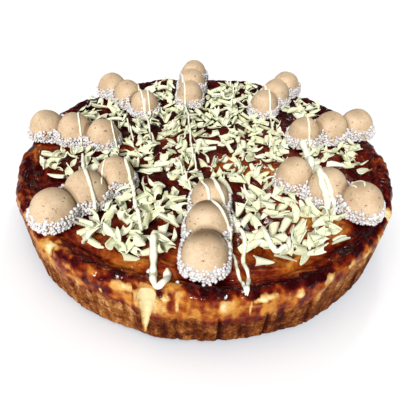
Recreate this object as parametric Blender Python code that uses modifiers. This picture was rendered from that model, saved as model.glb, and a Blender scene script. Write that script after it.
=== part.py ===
"""A round baked cheesecake, browned and split at its rim, with eight filled wafers, white chocolate curls and drizzle.

The cake stands on the XY plane with its axis on +Z. The solids are the cake, with the curls and the thick drizzle
fused to its top, and the eight wafers, each with its band of sugar nibs. All sizes are in metres.
"""

import math
import random

import bmesh
import bpy
from mathutils import Matrix, Vector, noise

# The cake, baked in a 28 cm springform tin
RIM_RADIUS = 0.1400
BASE_RADIUS = 0.1380
RIM_HEIGHT = 0.0450
TOP_HEIGHT = 0.0405
BASE_ROUND = 0.0030
TURN_STEPS = 96
# The rings of the top, from the middle out: radius and height
TOP_RINGS = (
    (0.0450, TOP_HEIGHT + 0.0003),
    (0.0850, TOP_HEIGHT - 0.0002),
    (0.1110, TOP_HEIGHT + 0.0002),
    (0.1180, TOP_HEIGHT + 0.0019),
    (0.1240, TOP_HEIGHT - 0.0007),
    (0.1300, RIM_HEIGHT - 0.0008),
    (0.1345, RIM_HEIGHT),
    (0.1385, RIM_HEIGHT - 0.0022),
    (RIM_RADIUS, RIM_HEIGHT - 0.0065),
)
# The innermost rings keep one point in so many, as they need no more
RING_THINNING = (8, 4, 2)
WALL_RINGS = 3
# The folds of the top wander towards the rim and away from it between these radii
FOLD_WANDER = 0.0017
FOLD_START = 0.0950
FOLD_END = 0.1300
RIM_WAVE = 0.0011
TOP_SWELL = 0.0006
SWELL_SIZE = 0.035
PLEAT_DEPTH = 0.0005
WALL_START = 0.1300
# Share of its height over the top that the rim loses under a wafer that crosses it
WAFER_DIP = 0.65
DIP_FLAT_ANGLE = math.radians(7)
DIP_END_ANGLE = math.radians(12)
DIP_REACH = 0.1280

# Splits in the rim: azimuth, width at the top, depth into the cake, lowest height
SPLITS = (
    (math.radians(-103.5), 0.0100, 0.0080, 0.0040),
    (math.radians(-27.0), 0.0120, 0.0075, 0.0160),
    (math.radians(-132.0), 0.0110, 0.0040, 0.0240),
)
SPLIT_RISE = 0.004
SPLIT_FOOT_SHARE = 0.3
CREASE_AZIMUTHS = tuple(math.radians(a) for a in (-85.0, -73.3, -62.0, 16.0, 58.0, 101.0, 143.0, 176.0))
CREASE_WIDTH = 0.0020
CREASE_DEPTH = 0.0022
CREASE_TOP = 0.0260

# A wafer's three domes, from the outer end to the inner: middle, half-length, half-width, height
DOME_SPACING = 0.0255
DOMES = (
    (DOME_SPACING, 0.0145, 0.0141, 0.0218),
    (0.0, 0.0145, 0.0144, 0.0234),
    (-DOME_SPACING, 0.0135, 0.0132, 0.0222),
)
DOME_POWER = 2.5
SHELL_FOOT = 0.0008
SHELL_SIDES = 8
SHELL_UNDERSIDES = 3
END_RING_ANGLES = tuple(math.radians(a) for a in (16, 38, 64, 94))
MIDDLE_RING_ANGLES = tuple(math.radians(a) for a in (52, 90, 128))
# The band of sugar nibs round a wafer's foot
NIB_PROUD = 0.0015
NIB_BAND_HEIGHT = 0.0090
NIB_BUMP = 0.0006
NIB_STEPS = 28
NIB_CREASE_WIDTH = 0.0112
NIB_TOP_INSET = 0.0020
NIB_FOOT_SHARE = 0.7
NIB_EDGE_SHARE = 0.75
WAFER_GAP = 0.0004
# How finely the top under a wafer is felt, along it each way from its middle and across it
SEAT_STEPS = 20
SEAT_SIDES = (-1.0, -0.5, 0.0, 0.5, 1.0)
# Name: place of the middle (x, y), heading of the outer end in degrees, size
WAFERS = {
    "wafer_front": (0.0032, -0.0863, -92.4, 0.99),
    "wafer_front_right": (0.0852, -0.0441, -33.7, 0.97),
    "wafer_right": (0.1031, 0.0358, 18.1, 0.95),
    "wafer_back_right": (0.0630, 0.0950, 59.1, 0.92),
    "wafer_back": (-0.0154, 0.1115, 87.8, 0.91),
    "wafer_back_left": (-0.0727, 0.0832, 137.3, 0.91),
    "wafer_left": (-0.1052, 0.0181, 169.4, 0.94),
    "wafer_front_left": (-0.0788, -0.0585, -130.7, 0.99),
}
# Drizzle that crosses a wafer: wafer, place along its length, slant along its length, width
WAFER_DRIZZLES = (
    ("wafer_front_right", -0.004, 0.0036, 0.0044),
    ("wafer_right", -0.024, 0.0012, 0.0020),
    ("wafer_back_right", -0.022, 0.0030, 0.0022),
    ("wafer_back", -0.028, -0.0024, 0.0020),
    ("wafer_back_left", -0.024, 0.0030, 0.0020),
    ("wafer_left", -0.030, 0.0018, 0.0020),
    ("wafer_left", 0.000, 0.0018, 0.0020),
    ("wafer_front_left", -0.006, -0.0030, 0.0024),
    ("wafer_front_left", -0.028, -0.0024, 0.0024),
)
# Drizzle that runs along a wafer: wafer, width, then the points along and across it that it runs through
WAFER_RUNS = (
    ("wafer_front", 0.0020, ((-0.0290, -0.0060), (-0.0187, -0.0013), (-0.0127, 0.0004), (-0.0062, 0.0020),
                             (-0.0011, 0.0069), (0.0026, 0.0101), (0.0050, 0.0126), (0.0062, 0.0146))),
    ("wafer_front", 0.0024, ((-0.0300, 0.0010), (-0.0222, 0.0049), (-0.0188, 0.0082), (-0.0160, 0.0115))),
)
RUN_FOOT = 0.0082
STRAND_STEPS = 6
STRAND_START = math.radians(26)
# Thick drizzle that lies on the cake: its width, then the points it runs through
CAKE_DRIZZLES = (
    (0.0044, ((-0.0285, -0.101), (-0.0275, -0.113), (-0.0262, -0.127), (-0.0228, -0.1325), (-0.0190, -0.128),
              (-0.0192, -0.117))),
    (0.0026, ((0.0260, -0.098), (0.0250, -0.108), (0.0275, -0.120), (0.0262, -0.129), (0.0258, -0.1355))),
    (0.0024, ((0.0380, -0.096), (0.0410, -0.105), (0.0480, -0.108), (0.0510, -0.098))),
)
DRIZZLE_RISE = 0.15

# White chocolate curls: each patch has its middle, its radius and how many lie in it
CURL_PATCHES = (
    (-0.041, -0.080, 0.032, 21),
    (0.054, -0.080, 0.034, 21),
    (0.000, 0.012, 0.064, 45),
    (-0.043, 0.100, 0.022, 7),
    (0.022, 0.104, 0.028, 13),
    (0.090, 0.080, 0.018, 5),
    (0.112, 0.000, 0.020, 6),
    (-0.100, -0.018, 0.020, 6),
    (-0.086, 0.058, 0.016, 5),
)
CURL_SEED = 11
CURL_TRIES = 60
CURL_LENGTH = (0.0110, 0.0165)
CURL_WIDE_RADIUS = (0.0038, 0.0050)
CURL_NARROW_SHARE = (0.25, 0.85)
CURL_ARC = (math.radians(95), math.radians(150))
CURL_PITCH = (math.radians(4), math.radians(30))
CURL_ROLL = math.radians(38)
CURL_FACE_DOWN = 0.55
CURL_THICKNESS = 0.0011
CURL_SUNK = 0.0007
CURL_SPACE = 0.0086
CURL_MARGIN = 0.0006
CURL_RIM_LIMIT = 0.1290
# A flatter curl needs fewer faces across it
CURL_FLAT_ARC = math.radians(125)

CAKE_COLOUR = (0.50, 0.22, 0.07, 1.0)
WAFER_COLOUR = (0.78, 0.56, 0.36, 1.0)
CAKE_SHARP_ANGLE = math.radians(40)
WAFER_SHARP_ANGLE = math.radians(50)
MERGE = 0.00001


def clear_scene():
    """Removes what the file opened with."""
    for obj in list(bpy.data.objects):
        bpy.data.objects.remove(obj)


def new_collection(name):
    collection = bpy.data.collections.new(name)
    bpy.context.scene.collection.children.link(collection)
    return collection


def new_material(name, colour, roughness):
    material = bpy.data.materials.new(name)
    material.use_nodes = True
    shader = material.node_tree.nodes["Principled BSDF"]
    shader.inputs["Base Color"].default_value = colour
    shader.inputs["Roughness"].default_value = roughness
    shader.inputs["Metallic"].default_value = 0.0
    return material


def object_of(bm, name, collection):
    """Makes an object in the collection from a bmesh, and frees the bmesh."""
    mesh = bpy.data.meshes.new(name)
    bm.to_mesh(mesh)
    bm.free()
    obj = bpy.data.objects.new(name, mesh)
    collection.objects.link(obj)
    return obj


def apply_modifiers(obj):
    """Replaces a mesh object's mesh with its evaluated one, without modifiers."""
    graph = bpy.context.evaluated_depsgraph_get()
    mesh = bpy.data.meshes.new_from_object(obj.evaluated_get(graph))
    old = obj.data
    obj.modifiers.clear()
    obj.data = mesh
    bpy.data.meshes.remove(old)


def curve_to_mesh(curve_object):
    """Replaces a curve object with a welded mesh object of the same shape and place."""
    bpy.context.view_layer.update()
    graph = bpy.context.evaluated_depsgraph_get()
    mesh = bpy.data.meshes.new_from_object(curve_object.evaluated_get(graph))
    bm = bmesh.new()
    bm.from_mesh(mesh)
    bmesh.ops.remove_doubles(bm, verts=bm.verts, dist=MERGE)
    bpy.data.meshes.remove(mesh)
    made = object_of(bm, curve_object.name + "_solid", curve_object.users_collection[0])
    made.matrix_world = curve_object.matrix_world
    bpy.data.objects.remove(curve_object)


def ease(share):
    """Runs smoothly from 0 to 1 as the share does, and stays there beyond."""
    share = min(1.0, max(0.0, share))
    return share * share * (3 - 2 * share)


def heading_of(place):
    """Unit vector in plan from a wafer's inner end to its outer end."""
    heading = math.radians(place[2])
    return Vector((math.cos(heading), math.sin(heading)))


def outer_end(place):
    """The point of the plan where a wafer's outer dome ends."""
    reach = (DOMES[0][0] + DOMES[0][1]) * place[3]
    return Vector(place[:2]) + heading_of(place) * reach


def wafer_dip(azimuth):
    """1 at an azimuth where a wafer crosses the rim and 0 away from them."""
    dip = 0.0
    for place in WAFERS.values():
        end = outer_end(place)
        if end.length > DIP_REACH:
            away = abs(math.remainder(azimuth - math.atan2(end.y, end.x), 2 * math.pi))
            dip = max(dip, ease((DIP_END_ANGLE - away) / (DIP_END_ANGLE - DIP_FLAT_ANGLE)))
    return dip


def rim_wave(azimuth):
    """How far the rim stands above or below its mean height."""
    wave = (
        0.5 * math.sin(3 * azimuth + 0.6)
        + 0.3 * math.sin(7 * azimuth + 2.0)
        + 0.35 * math.sin(13 * azimuth + 4.1)
        + 0.25 * math.sin(23 * azimuth + 1.3)
    )
    return RIM_WAVE * wave


def fold_shift(radius, azimuth):
    """How far the folds of the top lie out from their mean radius."""
    inside = ease((radius - FOLD_START) / (0.5 * (FOLD_END - FOLD_START)))
    outside = ease((FOLD_END - radius) / (0.25 * (FOLD_END - FOLD_START)))
    wander = math.sin(5 * azimuth + 1.0) + 0.6 * math.sin(11 * azimuth + 2.3)
    return FOLD_WANDER * min(inside, outside) * wander


def swell(x, y):
    """The slow unevenness of the top."""
    return TOP_SWELL * noise.noise(Vector((x, y, 0.0)) / SWELL_SIZE)


def settled(x, y, height):
    """A height of the turned profile with the unevenness of the real top at that point of the plan."""
    azimuth = math.atan2(y, x)
    dip = wafer_dip(azimuth) * ease((math.hypot(x, y) - TOP_RINGS[1][0]) / (TOP_RINGS[2][0] - TOP_RINGS[1][0]))
    rim_share = ease((math.hypot(x, y) - TOP_RINGS[4][0]) / (TOP_RINGS[5][0] - TOP_RINGS[4][0]))
    pressed = height - WAFER_DIP * dip * max(0.0, height - TOP_HEIGHT)
    return pressed + rim_share * rim_wave(azimuth) * (1 - dip) + (1 - rim_share) * swell(x, y)


def top_height(x, y):
    """Height of the cake's top at a point of its plan."""
    radius = math.hypot(x, y)
    azimuth = math.atan2(y, x)
    rings = [(r + fold_shift(r, azimuth), z) for r, z in ((0.0, TOP_HEIGHT), *TOP_RINGS)]
    for (r0, z0), (r1, z1) in zip(rings, rings[1:]):
        if radius <= r1:
            return settled(x, y, z0 + (z1 - z0) * (radius - r0) / (r1 - r0))
    return settled(x, y, rings[-1][1])


def cake_profile():
    """The turned profile, from the middle of the top, over the rim and down to the middle of the base."""
    radius, height = TOP_RINGS[-1]
    wall = [
        (radius + (BASE_RADIUS - radius) * step / WALL_RINGS, height + (BASE_ROUND - height) * step / WALL_RINGS)
        for step in range(1, WALL_RINGS + 1)
    ]
    return [(0.0, TOP_HEIGHT), *TOP_RINGS, *wall, (BASE_RADIUS - BASE_ROUND, 0.0), (0.0, 0.0)]


def pleat(azimuth, height):
    """The wall's shallow folds, left by the baking paper."""
    waves = (
        math.sin(11 * azimuth + 0.8)
        + 0.8 * math.sin(19 * azimuth + 3.0)
        + 0.6 * math.sin(29 * azimuth + 1.1 + 25 * height)
    )
    return PLEAT_DEPTH * waves


def thin_middle(cake):
    """Merges neighbours in the innermost rings of the top, where the turned faces would be slivers."""
    bm = bmesh.new()
    bm.from_mesh(cake.data)
    merged = {}
    for (radius, height), group in zip(TOP_RINGS, RING_THINNING):
        ring = [v for v in bm.verts if abs(v.co.xy.length - radius) < MERGE and abs(v.co.z - height) < MERGE]
        ring.sort(key=lambda v: math.atan2(v.co.y, v.co.x))
        merged.update({v: ring[i - i % group] for i, v in enumerate(ring) if i % group})
    bmesh.ops.weld_verts(bm, targetmap=merged)
    bm.to_mesh(cake.data)
    bm.free()


def turned_cake(collection):
    """The cake before it is split: a turned profile with its rim, top and wall made uneven."""
    bm = bmesh.new()
    points = [bm.verts.new((r, 0.0, z)) for r, z in cake_profile()]
    for a, b in zip(points, points[1:]):
        bm.edges.new((a, b))
    cake = object_of(bm, "cheesecake", collection)
    screw = cake.modifiers.new("Turn", "SCREW")
    screw.steps = TURN_STEPS
    screw.render_steps = TURN_STEPS
    screw.use_merge_vertices = True
    screw.merge_threshold = MERGE
    apply_modifiers(cake)
    thin_middle(cake)
    for vertex in cake.data.vertices:
        x, y, z = vertex.co
        radius = math.hypot(x, y)
        azimuth = math.atan2(y, x)
        out = 0.0
        if z > 0.0 and radius > WALL_START:
            out = pleat(azimuth, z) * ease((radius - WALL_START) / (BASE_RADIUS - WALL_START))
        if z >= TOP_RINGS[-1][1] - MERGE:
            vertex.co.z = settled(x, y, z)
            out += fold_shift(radius, azimuth)
        vertex.co.x += out * math.cos(azimuth)
        vertex.co.y += out * math.sin(azimuth)
    return cake


def notch(azimuth, width, depth, low, high, collection):
    """A cutter for a split: an upright diamond on the wall, which narrows downwards."""
    bm = bmesh.new()
    bmesh.ops.create_cone(bm, cap_ends=True, segments=4, radius1=SPLIT_FOOT_SHARE, radius2=1.0, depth=1.0)
    bmesh.ops.translate(bm, verts=bm.verts, vec=(0, 0, 0.5))
    bmesh.ops.scale(bm, verts=bm.verts, vec=(depth, width / 2, high - low))
    cutter = object_of(bm, "notch", collection)
    cutter.location = (RIM_RADIUS * math.cos(azimuth), RIM_RADIUS * math.sin(azimuth), low)
    cutter.rotation_euler.z = azimuth
    cutter.hide_render = True
    cutter.display_type = "WIRE"


def cut_splits(cake, cutters):
    """Opens the splits in the rim and the thin creases in the wall."""
    for azimuth, width, depth, low in SPLITS:
        notch(azimuth, width, depth, low, RIM_HEIGHT + SPLIT_RISE, cutters)
    for azimuth in CREASE_AZIMUTHS:
        notch(azimuth, CREASE_WIDTH, CREASE_DEPTH, -0.5 * BASE_ROUND, CREASE_TOP, cutters)
    bpy.context.view_layer.update()
    cut = cake.modifiers.new("Splits", "BOOLEAN")
    cut.operation = "DIFFERENCE"
    cut.operand_type = "COLLECTION"
    cut.collection = cutters
    cut.solver = "EXACT"
    apply_modifiers(cake)
    for cutter in list(cutters.objects):
        bpy.data.objects.remove(cutter)


def domes_at(x, size, extra=0.0):
    """Half-width and height of the row of domes at a place along its length, or zeros beyond its ends."""
    best = (0.0, 0.0)
    for middle, half_length, half_width, height in DOMES:
        share = abs(x - middle * size) / (half_length * size + extra)
        if share < 1.0:
            part = (1 - share**DOME_POWER) ** (1 / DOME_POWER)
            best = max(best, (part * (half_width * size + extra), part * height * size))
    return best


def section_point(half_width, height, around):
    """A point of a dome's rounded cross-section, at an angle from its right foot to its left."""
    power = 2 / DOME_POWER
    across = math.copysign(abs(math.cos(around)) ** power, math.cos(around))
    return half_width * across, height * max(0.0, math.sin(around)) ** power


def ring_places():
    """Places along a wafer of full size for its rings, closest together where the domes turn over."""
    first, middle, last = DOMES
    outer = [first[0] + first[1] * math.cos(a) for a in END_RING_ANGLES]
    centre = [middle[0] + middle[1] * math.cos(a) for a in MIDDLE_RING_ANGLES]
    inner = [last[0] - last[1] * math.cos(a) for a in reversed(END_RING_ANGLES)]
    return [*outer, 0.5 * DOME_SPACING, *centre, -0.5 * DOME_SPACING, *inner]


def wafer_shell(name, size, collection):
    """A wafer's three domes on a flat underside: a sphere whose rings are moved along its length."""
    places = ring_places()
    rings = len(places) + 1
    sides = SHELL_SIDES + SHELL_UNDERSIDES
    bm = bmesh.new()
    bmesh.ops.create_uvsphere(bm, u_segments=sides, v_segments=rings, radius=1.0)
    ends = {0: DOMES[0][0] + DOMES[0][1], rings: DOMES[2][0] - DOMES[2][1]}
    for vertex in bm.verts:
        ring = round(math.acos(max(-1.0, min(1.0, vertex.co.z))) / math.pi * rings)
        if ring in ends:
            vertex.co = (ends[ring] * size, 0.0, SHELL_FOOT)
            continue
        side = round(math.atan2(vertex.co.y, vertex.co.x) / (2 * math.pi) * sides) % sides
        x = places[ring - 1] * size
        half_width, height = domes_at(x, size)
        across, up = section_point(half_width, height, math.pi * side / SHELL_SIDES)
        if side > SHELL_SIDES:
            across = half_width * (2 * (side - SHELL_SIDES) / SHELL_UNDERSIDES - 1)
        vertex.co = (x, across, max(SHELL_FOOT, up))
    bmesh.ops.recalc_face_normals(bm, faces=bm.faces)
    return object_of(bm, name, collection)


def band_half_width(x, size, extra):
    """Half-width of the band of nibs, which fills the creases between the domes."""
    half_width = domes_at(x, size, extra)[0]
    if abs(x) < DOME_SPACING * size:
        half_width = max(half_width, NIB_CREASE_WIDTH * size + extra)
    return half_width


def nib_band(size, collection):
    """The band of sugar nibs round a wafer's foot: a bumpy ring whose top closes inside the domes."""
    bm = bmesh.new()
    bmesh.ops.create_cone(bm, cap_ends=True, segments=NIB_STEPS, radius1=1.0, radius2=1.0, depth=1.0)
    upright = [e for e in bm.edges if abs(e.verts[0].co.z - e.verts[1].co.z) > 0.5]
    bmesh.ops.subdivide_edges(bm, edges=upright, cuts=1)
    levels = (
        (0.0, NIB_FOOT_SHARE * NIB_PROUD, 0.0),
        (NIB_EDGE_SHARE * NIB_BAND_HEIGHT, NIB_PROUD, NIB_BUMP),
        (NIB_BAND_HEIGHT, -NIB_TOP_INSET, 0.0),
    )
    for vertex in bm.verts:
        height, proud, bump = levels[round((vertex.co.z + 0.5) * 2)]
        around = math.atan2(vertex.co.y, vertex.co.x)
        bump *= 1 if round(around / (2 * math.pi) * NIB_STEPS) % 2 else -1
        extra = proud * size + bump
        front = (DOMES[0][0] + DOMES[0][1]) * size + extra
        back = (DOMES[2][0] - DOMES[2][1]) * size - extra
        x = 0.5 * (front + back) + 0.5 * (front - back) * math.cos(around)
        at_end = abs(math.sin(around)) < 0.01
        half_width = 0.0 if at_end else band_half_width(x, size, extra)
        vertex.co = (x, math.copysign(half_width, math.sin(around)), height * size + bump)
    bmesh.ops.recalc_face_normals(bm, faces=bm.faces)
    return object_of(bm, "band", collection)


def strand(points, width, collection):
    """A strand of drizzle through these points, as a solid."""
    curve = bpy.data.curves.new("strand", "CURVE")
    curve.dimensions = "3D"
    curve.bevel_depth = width / 2
    curve.bevel_resolution = 0
    curve.use_fill_caps = True
    spline = curve.splines.new("POLY")
    spline.points.add(len(points) - 1)
    for target, point in zip(spline.points, points):
        target.co = (*point, 1.0)
    obj = bpy.data.objects.new("strand", curve)
    collection.objects.link(obj)
    curve_to_mesh(obj)


def wafer_drizzle(along, slant, width, size, collection):
    """A strand that runs over a wafer from one side's nibs to the other's."""
    points = []
    for step in range(STRAND_STEPS + 1):
        around = STRAND_START + (math.pi - 2 * STRAND_START) * step / STRAND_STEPS
        x = along * size + slant * math.cos(around)
        across, up = section_point(*domes_at(x, size), around)
        points.append((x, across, up))
    strand(points, width, collection)


def wafer_run(width, route, size, collection):
    """A strand that runs along a wafer, over its domes and down to its nibs."""
    points = []
    for along, across in route:
        half_width, height = domes_at(along * size, size)
        share = min(1.0, abs(across) * size / half_width)
        up = height * (1 - share**DOME_POWER) ** (1 / DOME_POWER)
        points.append((along * size, across * size, max(up, RUN_FOOT * size)))
    strand(points, width, collection)


def join(target, collection):
    """Fuses the collection's solids to the target and removes them."""
    bpy.context.view_layer.update()
    union = target.modifiers.new("Join", "BOOLEAN")
    union.operation = "UNION"
    union.operand_type = "COLLECTION"
    union.collection = collection
    union.solver = "MANIFOLD"
    apply_modifiers(target)
    for obj in list(collection.objects):
        bpy.data.objects.remove(obj)
    drop_scraps(target)


def drop_scraps(obj):
    """Keeps the largest connected piece of the mesh."""
    bm = bmesh.new()
    bm.from_mesh(obj.data)
    waiting = set(bm.verts)
    islands = []
    while waiting:
        island = set()
        front = {waiting.pop()}
        while front:
            island |= front
            front = {e.other_vert(v) for v in front for e in v.link_edges} - island
        waiting -= island
        islands.append(island)
    largest = max(islands, key=len)
    bmesh.ops.delete(bm, geom=[v for v in bm.verts if v not in largest], context="VERTS")
    bm.to_mesh(obj.data)
    bm.free()


def seat(place):
    """Height and tilt at which a wafer lies on the cake: its inner end on the top, its outer end on the rim."""
    along = heading_of(place)
    across = Vector((-along.y, along.x))
    size = place[3]
    samples = []
    for step in range(-SEAT_STEPS, SEAT_STEPS + 1):
        offset = step / SEAT_STEPS * (DOMES[0][0] + DOMES[0][1] + NIB_PROUD) * size
        half_width = band_half_width(offset, size, NIB_PROUD)
        for side in SEAT_SIDES:
            point = Vector(place[:2]) + along * offset + across * side * half_width
            if point.length < RIM_RADIUS:
                samples.append((offset, top_height(*point)))
    inner_place = -DOME_SPACING * size
    inner = max(h for s, h in samples if s < 0)
    slope = max(0.0, max((h - inner) / (s - inner_place) for s, h in samples if s > 0))
    lift = max(h - slope * s for s, h in samples)
    return lift + WAFER_GAP, math.atan(slope)


def wafer(name, collection, tools, material):
    """One wafer where it lies, with its nibs and the drizzle that crosses it."""
    place = WAFERS[name]
    size = place[3]
    obj = wafer_shell(name, size, collection)
    nib_band(size, tools)
    for owner, along, slant, width in WAFER_DRIZZLES:
        if owner == name:
            wafer_drizzle(along, slant, width, size, tools)
    for owner, width, route in WAFER_RUNS:
        if owner == name:
            wafer_run(width, route, size, tools)
    join(obj, tools)
    height, tilt = seat(place)
    obj.location = (place[0], place[1], height)
    obj.rotation_euler = (0.0, -tilt, math.radians(place[2]))
    obj.data.materials.clear()
    obj.data.materials.append(material)
    obj.data.shade_smooth()
    obj.data.set_sharp_from_angle(angle=WAFER_SHARP_ANGLE)


def clear_of_wafers(x, y):
    """True if a point of the plan is outside every wafer's foot."""
    for place in WAFERS.values():
        away = Vector((x, y)) - Vector(place[:2])
        along = heading_of(place)
        extra = NIB_PROUD * place[3] + NIB_BUMP + CURL_MARGIN
        if abs(along.cross(away)) < band_half_width(along.dot(away), place[3], extra):
            return False
    return True


def curl(draw, x, y, collection):
    """A curl of shaved chocolate: a strip wrapped part way round a cone, with one end raised."""
    length = draw.uniform(*CURL_LENGTH)
    wide = draw.uniform(*CURL_WIDE_RADIUS)
    narrow = wide * draw.uniform(*CURL_NARROW_SHARE)
    arc = draw.uniform(*CURL_ARC)
    face_down = math.pi if draw.random() < CURL_FACE_DOWN else 0.0
    turn = (
        Matrix.Rotation(draw.uniform(0, 2 * math.pi), 3, "Z")
        @ Matrix.Rotation(draw.uniform(*CURL_PITCH) * draw.choice((-1, 1)), 3, "Y")
        @ Matrix.Rotation(face_down + draw.uniform(-CURL_ROLL, CURL_ROLL), 3, "X")
    )
    bm = bmesh.new()
    bmesh.ops.create_grid(bm, x_segments=1, y_segments=2 if arc < CURL_FLAT_ARC else 3, size=0.5)
    for vertex in bm.verts:
        radius = wide if vertex.co.x > 0 else narrow
        around = arc * vertex.co.y
        vertex.co = turn @ Vector((length * vertex.co.x, radius * math.sin(around), -radius * math.cos(around)))
    low = min(v.co.z for v in bm.verts)
    bmesh.ops.translate(bm, verts=bm.verts, vec=(x, y, top_height(x, y) - CURL_SUNK - low))
    corners = [v.co.xy for v in bm.verts]
    if not all(c.length < CURL_RIM_LIMIT and clear_of_wafers(*c) for c in corners):
        bm.free()
        return False
    obj = object_of(bm, "curl", collection)
    thick = obj.modifiers.new("Thick", "SOLIDIFY")
    thick.thickness = CURL_THICKNESS
    thick.offset = 0.0
    apply_modifiers(obj)
    return True


def curls(collection):
    """Every curl, patch by patch, kept a little apart so that each one shows."""
    draw = random.Random(CURL_SEED)
    placed = []
    for middle_x, middle_y, radius, count in CURL_PATCHES:
        made = 0
        for _ in range(CURL_TRIES * count):
            away = radius * math.sqrt(draw.random())
            around = draw.uniform(0, 2 * math.pi)
            x = middle_x + away * math.cos(around)
            y = middle_y + away * math.sin(around)
            crowded = any(math.hypot(x - a, y - b) < CURL_SPACE for a, b in placed)
            if not crowded and curl(draw, x, y, collection):
                placed.append((x, y))
                made += 1
            if made == count:
                break


def cake_drizzles(collection):
    """The thick drizzle on the cake, part sunk in its top."""
    for width, route in CAKE_DRIZZLES:
        strand([(x, y, top_height(x, y) + DRIZZLE_RISE * width) for x, y in route], width, collection)


def main():
    clear_scene()
    cheesecake = new_collection("jiggly_cheesecake")
    tools = new_collection("cutters_and_toppings")
    tools.hide_render = True
    cake_material = new_material("baked_cheesecake", CAKE_COLOUR, 0.35)
    wafer_material = new_material("wafer", WAFER_COLOUR, 0.7)
    cake = turned_cake(cheesecake)
    cut_splits(cake, tools)
    curls(tools)
    cake_drizzles(tools)
    join(cake, tools)
    cake.data.materials.clear()
    cake.data.materials.append(cake_material)
    cake.data.shade_smooth()
    cake.data.set_sharp_from_angle(angle=CAKE_SHARP_ANGLE)
    for name in WAFERS:
        wafer(name, cheesecake, tools, wafer_material)
    bpy.data.collections.remove(tools)


main()
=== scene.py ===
import logging
import math
import random
from dataclasses import dataclass, field
from enum import Enum
from typing import Any, Optional, Sequence

import bpy
import numpy as np
from bpy.types import ColorRamp, Material, Mesh, Node, NodeSocket, Object
from mathutils import Matrix, Vector, noise


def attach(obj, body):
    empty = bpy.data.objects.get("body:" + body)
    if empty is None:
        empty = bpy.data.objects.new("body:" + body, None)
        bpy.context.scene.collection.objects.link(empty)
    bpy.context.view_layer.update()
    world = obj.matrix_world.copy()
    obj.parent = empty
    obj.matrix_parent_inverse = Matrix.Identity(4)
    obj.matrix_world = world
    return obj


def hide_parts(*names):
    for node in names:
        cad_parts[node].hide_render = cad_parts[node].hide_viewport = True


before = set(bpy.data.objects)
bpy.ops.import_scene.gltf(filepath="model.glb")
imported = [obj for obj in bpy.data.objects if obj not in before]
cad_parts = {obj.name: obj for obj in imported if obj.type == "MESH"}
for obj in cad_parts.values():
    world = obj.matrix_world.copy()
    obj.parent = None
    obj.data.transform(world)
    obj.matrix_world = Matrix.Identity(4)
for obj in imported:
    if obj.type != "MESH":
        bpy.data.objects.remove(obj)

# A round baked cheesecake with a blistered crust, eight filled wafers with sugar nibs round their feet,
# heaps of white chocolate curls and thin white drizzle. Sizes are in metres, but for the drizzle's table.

Array = np.ndarray
Triple = tuple[float, float, float]
Colour = Triple
Point = tuple[float, float]
WallPlace = tuple[float, float, float, float]

log = logging.getLogger("cheesecake")


class Slot(Enum):
    """The material slots."""

    CAKE = "baked_cheesecake"
    WAFER = "wafer"


def ease(share: Array) -> Array:
    """Runs smoothly from 0 to 1 as the share does, and stays there beyond."""
    share = np.clip(share, 0.0, 1.0)
    return share * share * (3 - 2 * share)


def rise(value: Array, start: Array | float, length: float) -> Array:
    """Runs smoothly from 0 at the start to 1 a length further on."""
    return ease((value - start) / length)


def fall(value: Array, end: Array | float, length: float) -> Array:
    """Runs smoothly from 1, a length before the end, to 0 at the end."""
    return ease((end - value) / length)


def bell(value: Array, middle: Array | float, width: Array | float) -> Array:
    """Gives 1 at the middle and fades to 0 on both sides of it."""
    return np.exp(-(((value - middle) / width) ** 2))


def patchy(points: Array, size: float, octaves: int = 3) -> Array:
    """Gives slow uneven values, mostly between -1 and 1.

    Args:
        points: One row of three coordinates for each value.
        size: Length over which the values change.
        octaves: How many finer layers are added.

    Returns:
        One value for each row.
    """
    return np.array([noise.fractal(Vector(p), 1.0, 2.0, octaves) for p in np.asarray(points) / size])


def turn_between(azimuth: Array, middle: Array | float) -> Array:
    """Gives the signed angle from a direction to others, within half a turn."""
    return (azimuth - middle + math.pi) % (2 * math.pi) - math.pi


def window(azimuth: Array, start: float, end: float, fade: float) -> Array:
    """Gives 1 between two azimuths and 0 outside them, with soft ends.

    Args:
        azimuth: Azimuths in radians.
        start: First azimuth in degrees.
        end: Last azimuth in degrees.
        fade: Width of each soft end in degrees.

    Returns:
        One share for each azimuth.
    """
    middle = math.radians(0.5 * (start + end))
    half = math.radians(0.5 * (end - start))
    return ease((half - np.abs(turn_between(azimuth, middle))) / math.radians(fade) + 0.5)


def distances(path: Array) -> Array:
    """Gives how far along a path each of its points lies."""
    return np.concatenate(([0.0], np.cumsum(np.linalg.norm(np.diff(path, axis=0), axis=1))))


def resample(path: Array, wanted: Array) -> Array:
    """Gives the points of a path that lie at the wanted distances along it."""
    along = distances(path)
    return np.stack([np.interp(wanted, along, column) for column in path.T], axis=1)


def rounded_path(points: Sequence[Sequence[float]], spacing: float) -> Array:
    """Runs a smooth curve through the points and samples it evenly.

    Args:
        points: The points, each of any number of coordinates.
        spacing: Distance between the samples.

    Returns:
        The samples, one row each.
    """
    knots = np.array(points, dtype=float)
    padded = np.vstack((2 * knots[0] - knots[1], knots, 2 * knots[-1] - knots[-2]))
    pieces = []
    for a, b, c, d in zip(padded, padded[1:], padded[2:], padded[3:]):
        t = np.linspace(0.0, 1.0, 12, endpoint=False)[:, None]
        doubled = 2 * b + (c - a) * t + (2 * a - 5 * b + 4 * c - d) * t**2 + (3 * b - a - 3 * c + d) * t**3
        pieces.append(0.5 * doubled)
    fine = np.vstack((*pieces, knots[-1:]))
    length = distances(fine)[-1]
    return resample(fine, np.linspace(0.0, length, max(2, round(length / spacing) + 1)))


# Work on objects

MERGE_DISTANCE = 0.00001


def deselect() -> None:
    """Leaves nothing selected."""
    bpy.ops.object.select_all(action="DESELECT")


def select_only(obj: Object) -> None:
    """Selects one object and makes it the active one."""
    deselect()
    obj.select_set(True)
    bpy.context.view_layer.objects.active = obj


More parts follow.
